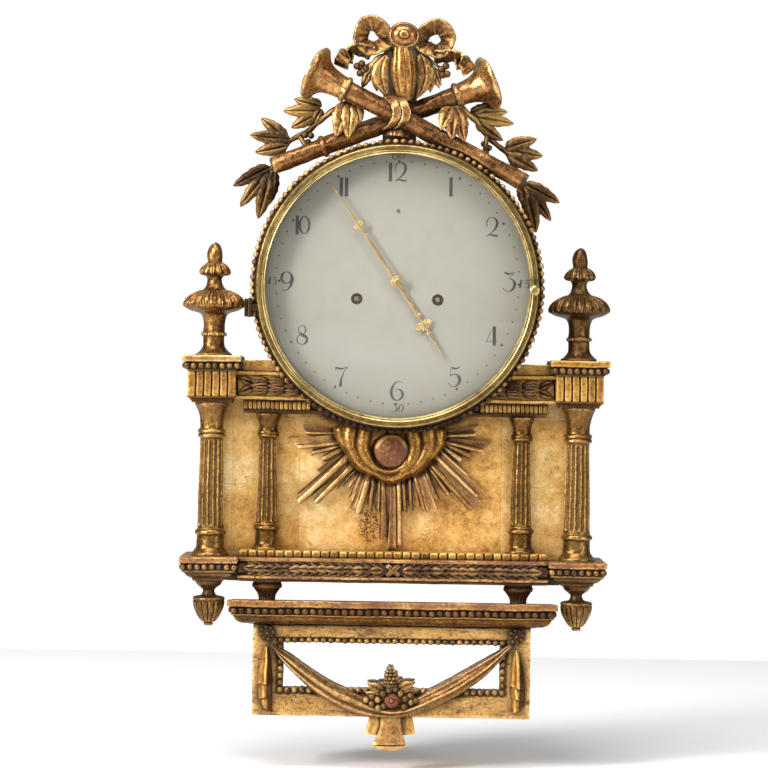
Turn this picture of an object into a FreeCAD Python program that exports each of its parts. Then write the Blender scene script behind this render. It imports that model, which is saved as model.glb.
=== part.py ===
import FreeCAD, Part
import Sketcher
import math
import os

# Wall clock in carved and gilded wood: a drum case over a pair of columns,
# a shelf on a glazed bracket below, a carved trophy above.
# Frame: X to the right, front faces -Y, +Z up; the origin lies on the wall
# plane (y = 0) on the axis of the drum. Millimetres.

V = FreeCAD.Vector
doc = FreeCAD.newDocument("wall_clock")
dims = doc.addObject("Spreadsheet::Sheet", "dims")
row = [0]


def cell(alias, value):
    row[0] += 1
    dims.set("A%d" % row[0], alias)
    dims.set("B%d" % row[0], str(value))
    dims.setAlias("B%d" % row[0], alias)


DIMENSIONS = [
    # case
    ("back_thick", 16), ("drum_out_rad", 163), ("drum_in_rad", 150), ("drum_front", 104),
    ("bead_out_rad", 170), ("bead_in_rad", 153.5), ("bead_depth", 14),
    ("panel_half", 211), ("panel_top", -131), ("panel_low", -314), ("panel_back", 42), ("panel_thick", 10),
    ("side_thick", 12),
    ("plinth_x", 212), ("plinth_cap_width", 68), ("plinth_block_width", 54), ("plinth_top", -82),
    ("plinth_cap_high", 9), ("plinth_bead_high", 9.5), ("plinth_block_high", 29), ("plinth_neck_high", 7),
    ("plinth_front", 100), ("plinth_cap_over", 8),
    ("finial_high", 131.5), ("finial_rad", 35.4),
    ("frieze_top", -87), ("frieze_mid", -100.5), ("frieze_low", -132), ("frieze_front", 80),
    ("strip_low", -148.4), ("strip_front", 74), ("strip_half", 176),
    ("outer_col_high", 177.5), ("outer_col_rad", 21.4), ("outer_col_depth", 78),
    ("inner_col_x", 147), ("inner_col_high", 157.4), ("inner_col_rad", 17.3), ("inner_col_depth", 66),
    ("shelf_top", -314), ("shelf_low", -341.5), ("shelf_front", 102), ("corner_width", 67), ("corner_front", 112),
    ("step_half", 178), ("step_high", 8.2), ("step_front", 90),
    ("drop_high", 53), ("drop_rad", 18.4), ("drop_x", 213),
    ("post_x", 145.5), ("post_high", 21.1), ("post_rad", 17.3), ("post_depth", 74),
    ("cornice_half", 190), ("cornice_fascia", 8.2), ("cornice_bead", 8.4), ("cornice_cove", 12.6), ("cornice_front", 106),
    ("frame_half", 160.5), ("frame_high", 105.2), ("frame_front", 84), ("frame_thick", 16),
    ("sight_half", 125), ("sight_top", -412.4), ("sight_low", -464), ("mirror_thick", 3), ("mirror_lap", 5),
    # crest
    ("strap_half", 20), ("strap_top", 300), ("strap_low", 120), ("strap_thick", 3), ("strap_hole_rad", 5), ("strap_hole_z", 262),
    ("trumpet_rad", 10.5), ("bell_rad", 31), ("trumpet_front_depth", 101), ("trumpet_rear_depth", 78),
    ("stem_half", 13), ("knob_rad", 18.5), ("leaf_thick", 12), ("spray_depth", 66), ("bow_depth", 90), ("bow_thick", 14),
    # sun
    ("ray_thick", 9), ("cloud_thick", 11), ("boss_rad", 22), ("boss_thick", 6),
    # dial and door
    ("dial_rad", 153), ("dial_thick", 1.6), ("hand_z", 4.5),
    ("bezel_out_rad", 161.5), ("bezel_in_rad", 150.5), ("bezel_gap", 0.4), ("bezel_deep", 13.6),
    ("glass_rad", 150.3), ("glass_rise", 20), ("glass_thick", 2.5),
    ("hinge_x", -168.5), ("hinge_depth", 121.8), ("hinge_mid_z", -27), ("pin_rad", 1.5), ("knuckle_rad", 3),
    ("run_clear", 0.06),
    # movement
    ("plate_half", 84), ("plate_top", 102), ("plate_low", -66), ("plate_thick", 3), ("rear_plate", 42), ("fore_plate", 85),
    ("pillar_rad", 4), ("arbor_rad", 1.5), ("centre_rad", 2.5), ("wind_rad", 3), ("wind_square", 5),
    ("wind_x", 46.5), ("wind_z", -14.6), ("barrel_rad", 35), ("barrel_long", 23),
    ("cannon_rad", 4), ("hour_pipe_rad", 5.6), ("bob_rad", 38), ("bob_thick", 14), ("pendulum_long", 248),
    ("bell_mouth", 24), ("bell_high", 17),
]
for alias, value in DIMENSIONS:
    cell(alias, value)
doc.recompute()


def S(alias):
    return float(dims.get(alias))


NODES = {}


def keep(label, obj):
    obj.Label = label
    NODES[label] = obj
    return obj


def bind(obj, **props):
    for prop, expr in props.items():
        obj.setExpression(prop.replace("__", "."), expr)
    return obj


def box(name, x, y, z, lx, ly, lz):
    """A block from its low corner; every size and place is a sheet expression."""
    b = doc.addObject("Part::Box", name)
    return bind(b, Length=lx, Width=ly, Height=lz, Placement__Base__x=x, Placement__Base__y=y, Placement__Base__z=z)


def slab(name, x0, x1, front, rear, z0, z1):
    """A block between two X, two depths in front of the wall and two Z."""
    return box(name, x0, "-(%s)" % front, z0, "(%s)-(%s)" % (x1, x0), "(%s)-(%s)" % (front, rear), "(%s)-(%s)" % (z1, z0))


def rod(name, rad, rear, front, x="0", z="0"):
    """A cylinder along Y from one depth to another."""
    c = doc.addObject("Part::Cylinder", name)
    c.Placement = FreeCAD.Placement(V(0, 0, 0), FreeCAD.Rotation(V(1, 0, 0), 90))
    return bind(c, Radius=rad, Height="(%s)-(%s)" % (front, rear), Placement__Base__x=x,
                Placement__Base__y="-(%s)" % rear, Placement__Base__z=z)


def post(name, rad, x, depth, z0, z1):
    """A cylinder along Z."""
    c = doc.addObject("Part::Cylinder", name)
    return bind(c, Radius=rad, Height="(%s)-(%s)" % (z1, z0), Placement__Base__x=x,
                Placement__Base__y="-(%s)" % depth, Placement__Base__z=z0)


def cut(name, base, tool):
    c = doc.addObject("Part::Cut", name)
    c.Base, c.Tool = base, tool
    return c


def fuse(name, shapes):
    f = doc.addObject("Part::MultiFuse", name)
    f.Shapes = shapes
    f.Refine = True
    return f


def group(name, shapes):
    g = doc.addObject("Part::Compound", name)
    g.Links = shapes
    return g


def lathe(name, pts, rad_alias=None, high_alias=None):
    """A turned piece: closed outline (radius, height) revolved about its own axis.
    Radii and heights follow the two named cells in proportion."""
    body = doc.addObject("PartDesign::Body", name)
    sk = body.newObject("Sketcher::SketchObject", name + "_outline")
    plane = [f for f in body.Origin.OriginFeatures if f.Role == "XZ_Plane"][0]
    sk.AttachmentSupport = [(plane, "")]
    sk.MapMode = "FlatFace"
    n = len(pts)
    sk.addGeometry([Part.LineSegment(V(pts[i][0], pts[i][1], 0), V(pts[(i + 1) % n][0], pts[(i + 1) % n][1], 0)) for i in range(n)])
    sk.addConstraint([Sketcher.Constraint("Coincident", i, 2, (i + 1) % n, 1) for i in range(n)])
    rules, exprs = [], []
    for i, (r, h) in enumerate(pts):
        if abs(r) < 1e-9:
            rules.append(Sketcher.Constraint("PointOnObject", i, 1, -2))
            exprs.append(None)
        else:
            rules.append(Sketcher.Constraint("DistanceX", -1, 1, i, 1, r))
            exprs.append("dims.%s*%.6f" % (rad_alias, r / S(rad_alias)) if rad_alias else None)
        if abs(h) < 1e-9:
            rules.append(Sketcher.Constraint("PointOnObject", i, 1, -1))
            exprs.append(None)
        else:
            rules.append(Sketcher.Constraint("DistanceY", -1, 1, i, 1, h))
            exprs.append("dims.%s*%.6f" % (high_alias, h / S(high_alias)) if high_alias else None)
    first = sk.ConstraintCount
    sk.addConstraint(rules)
    for k, e in enumerate(exprs):
        if e:
            sk.setExpression("Constraints[%d]" % (first + k), e)
    rev = body.newObject("PartDesign::Revolution", name + "_turning")
    rev.Profile = sk
    rev.ReferenceAxis = (sk, ["V_Axis"])
    rev.Angle = 360
    sk.Visibility = False
    body.Tip = rev
    return body


def at(obj, x, depth, z, front=False):
    """Place a piece; front=True lays its own axis along -Y."""
    if front:
        obj.Placement = FreeCAD.Placement(V(0, 0, 0), FreeCAD.Rotation(V(1, 0, 0), 90))
    return bind(obj, Placement__Base__x=x, Placement__Base__y="-(%s)" % depth, Placement__Base__z=z)


def solid(name, shape, place=None):
    f = doc.addObject("Part::Feature", name)
    f.Shape = shape
    if place:
        f.Placement = place
    return f


def plate(name, pts, rear, front):
    """A carved or sawn plate: outline in X and Z, between two depths."""
    wire = Part.makePolygon([V(x, -rear, z) for x, z in pts] + [V(pts[0][0], -rear, pts[0][1])])
    return solid(name, Part.Face(wire).extrude(V(0, -(front - rear), 0)))


# ---------------------------------------------------------------- case carcass
back_low = box("back_low", "-dims.panel_half+dims.side_thick/12", "-dims.back_thick", "dims.panel_low",
               "2*(dims.panel_half-dims.side_thick/12)", "dims.back_thick", "-90-dims.panel_low")
back_disc = rod("back_disc", "dims.drum_out_rad", "0", "dims.back_thick")
back_recess = slab("back_recess", "-dims.strap_half-0.2", "dims.strap_half+0.2", "dims.strap_thick+0.05", "-1", "dims.strap_low-0.2", "dims.drum_out_rad+5")
keep("back_board", cut("back_recessed", fuse("back_fuse", [back_low, back_disc]), back_recess))

drum_out = rod("drum_out", "dims.drum_out_rad", "dims.back_thick", "dims.drum_front")
drum_in = rod("drum_in", "dims.drum_in_rad", "dims.back_thick-1", "dims.drum_front+1")
drum_slot = slab("drum_slot", "-72", "72", "dims.panel_back-0.5", "dims.back_thick-1", "-dims.drum_out_rad-5", "-90")
keep("drum_shell", cut("drum_bore", cut("drum_ring", drum_out, drum_in), drum_slot))

bead = lathe("bead_ring", [(153.5, 0), (164, 0), (165.5, 1.2), (169, 3.2), (170, 6.5), (168.6, 10), (166, 11.6), (161.5, 12.2),
                           (160.8, 14), (153.5, 14)], "bead_out_rad", "bead_depth")
keep("bead_moulding", at(bead, "0", "dims.drum_front", "0", True))

panel_box = slab("panel_box", "-dims.panel_half", "dims.panel_half", "dims.panel_back+dims.panel_thick", "dims.panel_back",
                 "dims.panel_low", "dims.panel_top")
panel_cut = rod("panel_cut", "dims.drum_out_rad+0.1", "dims.panel_back-1", "dims.panel_back+dims.panel_thick+1")
keep("gilded_panel", cut("panel", panel_box, panel_cut))

side_l = slab("side_l", "-dims.panel_half", "-dims.panel_half+dims.side_thick", "dims.panel_back", "dims.back_thick", "dims.panel_low", "dims.panel_top-6")
side_r = slab("side_r", "dims.panel_half-dims.side_thick", "dims.panel_half", "dims.panel_back", "dims.back_thick", "dims.panel_low", "dims.panel_top-6")
keep("case_sides", group("sides", [side_l, side_r]))

# ------------------------------------------------ plinths, friezes and finials
FINIAL = [(0, 0), (21, 0), (21, 2), (17.5, 4.5), (14, 8.5), (12.4, 13), (12.2, 22), (14, 23), (14.2, 26), (12.4, 27.5), (12.3, 37),
          (13.5, 44), (17, 49), (28, 52.5), (34, 56), (35.4, 60.5), (33.5, 66), (26, 71), (18.5, 74), (13, 77), (9.6, 82), (8.5, 88),
          (9.8, 92), (17, 95.5), (18.2, 98), (15.5, 102), (9.4, 107.5), (8.2, 110), (8.5, 116), (8.4, 121), (7, 126), (4, 129.5), (0, 131.5)]
for side, sg in (("left", -1), ("right", 1)):
    cx = "%d*dims.plinth_x" % sg
    cap = slab("cap_" + side, cx + "-dims.plinth_cap_width/2", cx + "+dims.plinth_cap_width/2", "dims.plinth_front+dims.plinth_cap_over",
               "dims.back_thick", "dims.plinth_top-dims.plinth_cap_high", "dims.plinth_top")
    beads = slab("beads_" + side, cx + "-dims.plinth_block_width/2-4.5", cx + "+dims.plinth_block_width/2+4.5", "dims.plinth_front+4.5",
                 "dims.back_thick", "dims.plinth_top-dims.plinth_cap_high-dims.plinth_bead_high", "dims.plinth_top-dims.plinth_cap_high")
    blk = slab("block_" + side, cx + "-dims.plinth_block_width/2", cx + "+dims.plinth_block_width/2", "dims.plinth_front", "dims.back_thick",
               "dims.plinth_top-dims.plinth_cap_high-dims.plinth_bead_high-dims.plinth_block_high",
               "dims.plinth_top-dims.plinth_cap_high-dims.plinth_bead_high")
    neck = slab("neck_" + side, cx + "-dims.plinth_block_width/2+4", cx + "+dims.plinth_block_width/2-4", "dims.plinth_front-4",
                "dims.panel_back+dims.panel_thick",
                "dims.plinth_top-dims.plinth_cap_high-dims.plinth_bead_high-dims.plinth_block_high-dims.plinth_neck_high",
                "dims.plinth_top-dims.plinth_cap_high-dims.plinth_bead_high-dims.plinth_block_high")
    keep("plinth_" + side, fuse("plinth_fuse_" + side, [cap, beads, blk, neck]))
    fin = lathe("finial_body_" + side, FINIAL, "finial_rad", "finial_high")
    keep("finial_" + side, at(fin, cx, "dims.outer_col_depth-12", "dims.plinth_top"))
    # frieze board: plain top band, leaf band, fluted strip; cut by the drum
    a, b = ("-dims.plinth_x+dims.plinth_cap_width/2", "-60") if sg < 0 else ("60", "dims.plinth_x-dims.plinth_cap_width/2")
    f1 = slab("frieze_top_" + side, a, b, "dims.frieze_front", "dims.back_thick", "dims.frieze_mid", "dims.frieze_top")
    a2, b2 = ("-dims.plinth_x+dims.plinth_block_width/2", "-60") if sg < 0 else ("60", "dims.plinth_x-dims.plinth_block_width/2")
    f2 = slab("frieze_leaf_" + side, a2, b2, "dims.frieze_front+4", "dims.panel_back+dims.panel_thick", "dims.frieze_low", "dims.frieze_mid-9.5")
    f2b = slab("frieze_back_" + side, a, b, "dims.frieze_front-1", "dims.panel_back+dims.panel_thick", "dims.frieze_low", "dims.frieze_mid")
    a3, b3 = ("-dims.strip_half", "-60") if sg < 0 else ("60", "dims.strip_half")
    f3 = slab("strip_" + side, a3, b3, "dims.strip_front", "dims.panel_back+dims.panel_thick", "dims.strip_low", "dims.frieze_low")
    fc = rod("frieze_cut_" + side, "dims.drum_out_rad+0.1", "0", "dims.drum_front-0.5")
    keep("frieze_" + side, cut("frieze_board_" + side, fuse("frieze_fuse_" + side, [f1, f2, f2b, f3]), fc))

# ------------------------------------------------------------------- columns
OUTER = [(0, 0), (21.4, 0), (21.4, 4), (18.4, 7), (16.4, 10.5), (15.8, 24), (18, 25.2), (18, 30.2), (15.4, 32), (15.3, 34), (13.4, 136.5),
         (16.2, 138.6), (16.2, 145.6), (13.4, 147.6), (13.3, 150), (14.2, 163), (17.3, 171), (19, 175.4), (19.6, 177.5), (0, 177.5)]
INNER = [(0, 0), (17.3, 0), (17.3, 2.5), (13.8, 7), (13, 22), (15.6, 23.2), (15.6, 28), (12.4, 30), (9.9, 129.5), (12.8, 131), (12.8, 136.5),
         (10.9, 139), (11, 144.5), (13.3, 151.5), (15, 156), (15, 157.4), (0, 157.4)]
for side, sg in (("left", -1), ("right", 1)):
    oc = lathe("outer_col_" + side, OUTER, "outer_col_rad", "outer_col_high")
    keep("outer_column_" + side, at(oc, "%d*dims.plinth_x" % sg, "dims.outer_col_depth", "dims.shelf_top"))
    ic = lathe("inner_col_" + side, INNER, "inner_col_rad", "inner_col_high")
    keep("inner_column_" + side, at(ic, "%d*dims.inner_col_x" % sg, "dims.inner_col_depth+5.6", "dims.shelf_top+dims.step_high"))

# ------------------------------------------------------- shelf and its pendants
shelf = slab("shelf", "-dims.plinth_x", "dims.plinth_x", "dims.shelf_front", "0", "dims.shelf_low", "dims.shelf_top")
corners = []
for side, sg in (("left", -1), ("right", 1)):
    cx = "%d*dims.plinth_x" % sg
    top = slab("corner_top_" + side, cx + "-dims.corner_width/2", cx + "+dims.corner_width/2", "dims.corner_front", "0",
               "dims.shelf_top-15", "dims.shelf_top")
    low = slab("corner_low_" + side, cx + "-dims.corner_width/2+6", cx + "+dims.corner_width/2-6", "dims.corner_front-6", "0",
               "dims.shelf_low", "dims.shelf_top-15")
    corners += [top, low]
shelf_all = fuse("shelf_fuse", [shelf] + corners)
step = slab("step", "-dims.step_half", "dims.step_half", "dims.step_front", "dims.panel_back+dims.panel_thick", "dims.shelf_top", "dims.shelf_top+dims.step_high")
keep("base_shelf", group("base_shelf_group", [shelf_all, step]))

DROP = [(0, 0), (5.2, 0), (6.4, 2.5), (8.6, 6), (13.4, 13), (17.2, 21), (18.4, 28), (17.8, 31.5), (14.5, 33.6), (8.4, 35.4), (6.5, 39.5),
        (7, 42), (10.5, 44.5), (14, 47.5), (15.8, 51), (15.9, 53), (0, 53)]
POST = [(0, 0), (9.6, 0), (10.4, 4.5), (14.4, 10), (16.7, 12), (17.3, 16), (16.7, 19), (15, 21.1), (0, 21.1)]
posts = []
for side, sg in (("left", -1), ("right", 1)):
    dr = lathe("drop_body_" + side, DROP, "drop_rad", "drop_high")
    keep("drop_finial_" + side, at(dr, "%d*dims.drop_x" % sg, "dims.outer_col_depth-2", "dims.shelf_low-dims.drop_high"))
    ps = lathe("post_body_" + side, POST, "post_rad", "post_high")
    at(ps, "%d*dims.post_x" % sg, "dims.post_depth", "dims.shelf_low-dims.post_high")
    posts.append(ps)
keep("bracket_posts", group("posts", posts))

# ------------------------------------------------------------------- bracket
c_top = "dims.shelf_low-dims.post_high"
fascia = slab("fascia", "-dims.cornice_half", "dims.cornice_half", "dims.cornice_front", "0", c_top + "-dims.cornice_fascia", c_top)
cbead = slab("cbead", "-dims.cornice_half+6", "dims.cornice_half-6", "dims.cornice_front-5", "0",
             c_top + "-dims.cornice_fascia-dims.cornice_bead", c_top + "-dims.cornice_fascia")
cove1 = slab("cove_a", "-dims.cornice_half+15", "dims.cornice_half-15", "dims.cornice_front-11", "0",
             c_top + "-dims.cornice_fascia-dims.cornice_bead-dims.cornice_cove*0.5", c_top + "-dims.cornice_fascia-dims.cornice_bead")
cove2 = slab("cove_b", "-dims.cornice_half+24", "dims.cornice_half-24", "dims.cornice_front-17", "0",
             c_top + "-dims.cornice_fascia-dims.cornice_bead-dims.cornice_cove",
             c_top + "-dims.cornice_fascia-dims.cornice_bead-dims.cornice_cove*0.5")
keep("bracket_cornice", fuse("cornice_fuse", [fascia, cbead, cove1, cove2]))

f_top = c_top + "-dims.cornice_fascia-dims.cornice_bead-dims.cornice_cove"
f_low = f_top + "-dims.frame_high"
fr = slab("frame_face", "-dims.frame_half", "dims.frame_half", "dims.frame_front", "0", f_low, f_top)
sight = slab("sight", "-dims.sight_half", "dims.sight_half", "dims.frame_front+1", "dims.frame_front-dims.frame_thick+3", "dims.sight_low", "dims.sight_top")
rebate = slab("rebate", "-dims.sight_half-dims.mirror_lap", "dims.sight_half+dims.mirror_lap", "dims.frame_front-dims.frame_thick+6",
              "dims.frame_front-dims.frame_thick+6-dims.mirror_thick", "dims.sight_low-dims.mirror_lap", "dims.sight_top+dims.mirror_lap")
keep("bracket_frame", cut("frame_rebated", cut("frame_cut", fr, sight), rebate))
keep("mirror_plate", slab("mirror", "-dims.sight_half-dims.mirror_lap+1", "dims.sight_half+dims.mirror_lap-1",
                          "dims.frame_front-dims.frame_thick+6", "dims.frame_front-dims.frame_thick+6-dims.mirror_thick",
                          "dims.sight_low-dims.mirror_lap+1", "dims.sight_top+dims.mirror_lap-1"))

# drapery: two rosettes with hanging tails, a swag between them, a bouquet on it and a pendant below
fd = S("frame_front")
drape = []
for sg in (-1, 1):
    drape.append(rod("rosette_%d" % (sg + 1), "9.5", "dims.frame_front", "dims.frame_front+9", "%d*(dims.sight_half+19)" % sg, "-401.6"))
    drape.append(plate("tail_%d" % (sg + 1), [(sg * 140, -414), (sg * 151, -414), (sg * 154, -470), (sg * 150, -494), (sg * 139, -494), (sg * 137, -470)], fd, fd + 9))
upper, lower = [], []
for i in range(13):
    u = -1 + i / 6.0
    zc = -487 + 71 * abs(u) ** 2.0
    half = 9.5 - 4.5 * abs(u) ** 2
    upper.append((u * 131, zc + half))
    lower.append((u * 131, zc - half))
swag = plate("swag", upper + lower[::-1], fd, fd + 12)
bouquet = plate("bouquet", [(-38, -470), (-34, -447), (-18, -436), (-8, -444), (4, -434), (20, -440), (36, -450), (36, -472), (24, -480), (-24, -480)], fd + 0.5, fd + 20)
bouquet_c = cut("bouquet_cut", bouquet, plate("bouquet_tool", [(p[0] * 1.2, p[1]) for p in upper] + [(p[0] * 1.2, p[1]) for p in lower[::-1]], fd - 1, fd + 12.01))
pend = plate("pendant", [(-30, -498), (30, -498), (27, -508), (18, -519), (9, -524), (16, -532), (-16, -532), (-9, -524), (-18, -519), (-27, -508)], fd - 14, fd + 8)
keep("bracket_drapery", group("drapery", drape + [swag, bouquet_c, pend]))

# --------------------------------------------------------------------- crest
strap_hole = rod("strap_hole", "dims.strap_hole_rad", "-1", "dims.strap_thick+1", "0", "dims.strap_hole_z")
strap = slab("strap", "-dims.strap_half", "dims.strap_half", "dims.strap_thick", "0", "dims.strap_low", "dims.strap_top")
hang = cut("hang_cut", strap, strap_hole)
keep("hanging_plate", hang)


def trumpet(name, mouth, tail, depth):
    """A straight trumpet: long tube, two collars and a flared bell; axis in an XZ plane."""
    d = V(tail[0] - mouth[0], 0, tail[1] - mouth[1])
    ln = d.Length
    d.normalize()
    r, rb = S("trumpet_rad"), S("bell_rad")
    prof = [(0, 0), (rb, 0), (rb, 3), (rb * 0.88, 10), (rb * 0.68, 20), (rb * 0.5, 30), (rb * 0.4, 39), (r * 0.98, 46), (r * 1.3, 47.5), (r * 1.3, 52),
            (r, 53.5), (r, ln * 0.52), (r * 0.86, ln * 0.74), (r * 1.12, ln * 0.745), (r * 1.12, ln * 0.775), (r * 0.84, ln * 0.78), (r * 0.72, ln - 3), (0, ln)]
    wire = Part.makePolygon([V(a, 0, b) for a, b in prof] + [V(0, 0, 0)])
    sh = Part.Face(wire).revolve(V(0, 0, 0), V(0, 0, 1), 360)
    f = solid(name, Part.Solid(sh) if sh.ShapeType != "Solid" else sh)
    f.Placement = FreeCAD.Placement(V(mouth[0], -depth, mouth[1]), FreeCAD.Rotation(V(0, 0, 1), d))
    # scribed to the ring where it lies on the drum
    return cut(name + "_scribed", f, rod(name + "_clear", "dims.bead_out_rad+0.3", "0", "dims.drum_front+dims.bead_depth+0.3"))


keep("trumpet_left", trumpet("trumpet_body_left", (-99, 244), (143, 123), S("trumpet_front_depth")))
keep("trumpet_right", trumpet("trumpet_body_right", (103, 238), (-147, 138), S("trumpet_rear_depth")))
# the stem: a tapering fluted tail between the trumpets, a block behind it and a knob on top
stem_front = S("trumpet_front_depth") + 12.5
stem_a = plate("stem_tail", [(-10, 268), (13, 268), (12, 235), (9, 205), (6, 170.6), (-2, 170.6), (-5, 205), (-9, 235)], S("trumpet_front_depth") + 11.5, stem_front + 8)
stem_c = plate("stem_head", [(-13, 275), (16, 275), (16, 262), (-13, 262)], S("strap_thick"), S("bow_depth") + S("bow_thick") - 0.3)
stem_link = plate("stem_link", [(-9, 268), (12, 268), (12, 256), (-9, 256)], 98, S("trumpet_front_depth") + 12)
stem_hole = rod("stem_hole", "dims.strap_hole_rad+2.5", "0", "dims.strap_thick+12", "0", "dims.strap_hole_z")
stem_core = plate("stem_core", [(-12, 172), (12, 172), (12, 250), (-12, 250)], S("strap_thick"), S("trumpet_rear_depth") - S("trumpet_rad") - 0.4)
keep("crest_stem", group("stem_group", [fuse("stem_fuse", [stem_a, stem_link, cut("stem_head_cut", stem_c, stem_hole)]), stem_core]))
bow_a = S("bow_depth")
loop_l = plate("loop_l", [(-12, 283), (-22, 296), (-38, 311), (-50, 309), (-58, 295), (-56, 276), (-44, 266), (-26, 270), (-13.5, 276)], bow_a, bow_a + S("bow_thick"))
loop_lh = plate("loop_lh", [(-24, 287), (-38, 299), (-45, 292), (-43, 281), (-32, 279)], bow_a - 1, bow_a + S("bow_thick") + 1)
loop_r = plate("loop_r", [(17, 282), (28, 294), (42, 306), (56, 304), (66, 290), (62, 272), (48, 262), (30, 267), (17, 275.5)], bow_a, bow_a + S("bow_thick"))
loop_rh = plate("loop_rh", [(30, 284), (42, 294), (52, 288), (50, 278), (38, 275)], bow_a - 1, bow_a + S("bow_thick") + 1)
knob_pts = [(0, 0), (18.5, 0), (18.5, 8), (17, 14), (12.5, 18.5), (7, 21), (5.5, 24), (0, 25)]
knob = lathe("knob", knob_pts, "knob_rad")
at(knob, "3", "dims.bow_depth+dims.bow_thick+0.2", "288.5", True)
knob_stalk = slab("knob_stalk", "-14", "18", "dims.bow_depth+dims.bow_thick+0.4", "dims.strap_thick", "276", "300")
bow_l, bow_r = cut("bow_l", loop_l, loop_lh), cut("bow_r", loop_r, loop_rh)
keep("crest_ribbon", fuse("bow_fuse", [bow_l, bow_r, knob, knob_stalk]))


def spray(name, pts):
    return plate(name, pts, S("spray_depth") - S("leaf_thick"), S("spray_depth"))


LAUREL_L = [(-45, 176), (-78, 190), (-92, 214), (-110, 216), (-124, 200), (-112, 186), (-138, 190), (-156, 182), (-170, 163), (-160, 148), (-178, 130),
            (-190, 112), (-182, 92), (-158, 76), (-146, 94), (-140, 120), (-120, 138), (-96, 146), (-70, 149)]
LAUREL_R = [(48, 176), (80, 186), (96, 208), (116, 205), (126, 188), (116, 178), (140, 180), (160, 170), (170, 150), (162, 138), (176, 122),
            (187, 102), (180, 84), (166, 66), (150, 82), (142, 112), (122, 134), (98, 145), (72, 148)]
arc_tool = rod("laurel_clear", "dims.drum_out_rad+0.1", "0", "dims.drum_front")
keep("laurel_left", cut("laurel_cut_l", spray("laurel_body_l", LAUREL_L), arc_tool))
arc_tool2 = rod("laurel_clear_b", "dims.drum_out_rad+0.1", "0", "dims.drum_front")
keep("laurel_right", cut("laurel_cut_r", spray("laurel_body_r", LAUREL_R), arc_tool2))

# ------------------------------------------------------------------- sunburst
sd = S("panel_back") + S("panel_thick")
sx, sz = -4.0, -190.6
RAYS = [(-98, -162), (-119, -179), (-106, -189), (-92, -199), (-86, -215), (-109, -248), (-88, -253), (-50, -248), (-41, -265),
        (-24, -260), (-8, -300), (3, -305.5), (10, -292), (22, -260), (49, -263), (56, -248), (92, -259), (106, -254),
        (90, -219), (94, -202), (104, -193), (112, -180), (104, -162)]
ray_pts = []
for i, (x, z) in enumerate(RAYS):
    ray_pts.append((x, z))
    if i + 1 < len(RAYS):
        nx, nz = RAYS[i + 1]
        r1, r2 = math.hypot(x - sx, z - sz), math.hypot(nx - sx, nz - sz)
        t1, t2 = math.atan2(z - sz, x - sx) % (2 * math.pi), math.atan2(nz - sz, nx - sx) % (2 * math.pi)
        tm = (t1 + t2) / 2 if abs(t2 - t1) < math.pi else 0.0
        rv = min(r1, r2) * 0.84
        ray_pts.append((sx + rv * math.cos(tm), sz + rv * math.sin(tm)))
ray_pts += [(64, -156), (-60, -156)]
rays = plate("rays", ray_pts, sd, sd + S("ray_thick"))
rays_cut = cut("rays_cut", rays, rod("rays_tool", "dims.drum_out_rad+0.1", "0", "dims.drum_front"))
CLOUD = [(-70, -163), (-64, -180), (-56, -194), (-44, -206), (-36, -214), (-20, -222), (-4, -230), (12, -226), (28, -214), (44, -204), (58, -188), (64, -170), (62, -158), (-66, -158)]
cloud = plate("cloud", CLOUD, sd + S("ray_thick"), sd + S("ray_thick") + S("cloud_thick"))
cloud_cut = cut("cloud_cut", cloud, rod("cloud_tool", "dims.drum_out_rad+0.1", "0", "dims.drum_front"))
boss = rod("boss", "dims.boss_rad", "dims.panel_back+dims.panel_thick+dims.ray_thick+dims.cloud_thick",
           "dims.panel_back+dims.panel_thick+dims.ray_thick+dims.cloud_thick+dims.boss_thick", "-4", "-190.6")
keep("sunburst", group("sun_group", [rays_cut, cloud_cut, boss]))

# ------------------------------------------------------------- dial and bezel
d0 = "dims.drum_front"
dial_disc = rod("dial_disc", "dims.dial_rad", d0, d0 + "+dims.dial_thick")
holes = [rod("dial_hole_c", "7", d0 + "-1", d0 + "+dims.dial_thick+1", "0", "dims.hand_z"),
         rod("dial_hole_l", "5.6", d0 + "-1", d0 + "+dims.dial_thick+1", "-dims.wind_x", "dims.wind_z"),
         rod("dial_hole_r", "5.6", d0 + "-1", d0 + "+dims.dial_thick+1", "dims.wind_x", "dims.wind_z"),
         rod("dial_hole_t", "2.4", d0 + "-1", d0 + "+dims.dial_thick+1", "0", "86.5")]
feet = [rod("dial_foot_%d" % i, "3", "dims.fore_plate+dims.plate_thick", d0, "%g" % x, "%g" % z) for i, (x, z) in
        enumerate(((-72, 80), (72, 80), (-72, -50), (72, -50)))]
bush = cut("reg_bush", rod("reg_bush_out", "4.5", d0 + "-6", d0, "0", "86.5"), rod("reg_bush_in", "1.2+dims.run_clear", d0 + "-7", d0 + "+1", "0", "86.5"))
dial_fuse = fuse("dial_fuse", [cut("dial_drilled", dial_disc, group("dial_holes", holes)), bush] + feet)
keep("dial_plate", dial_fuse)

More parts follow.
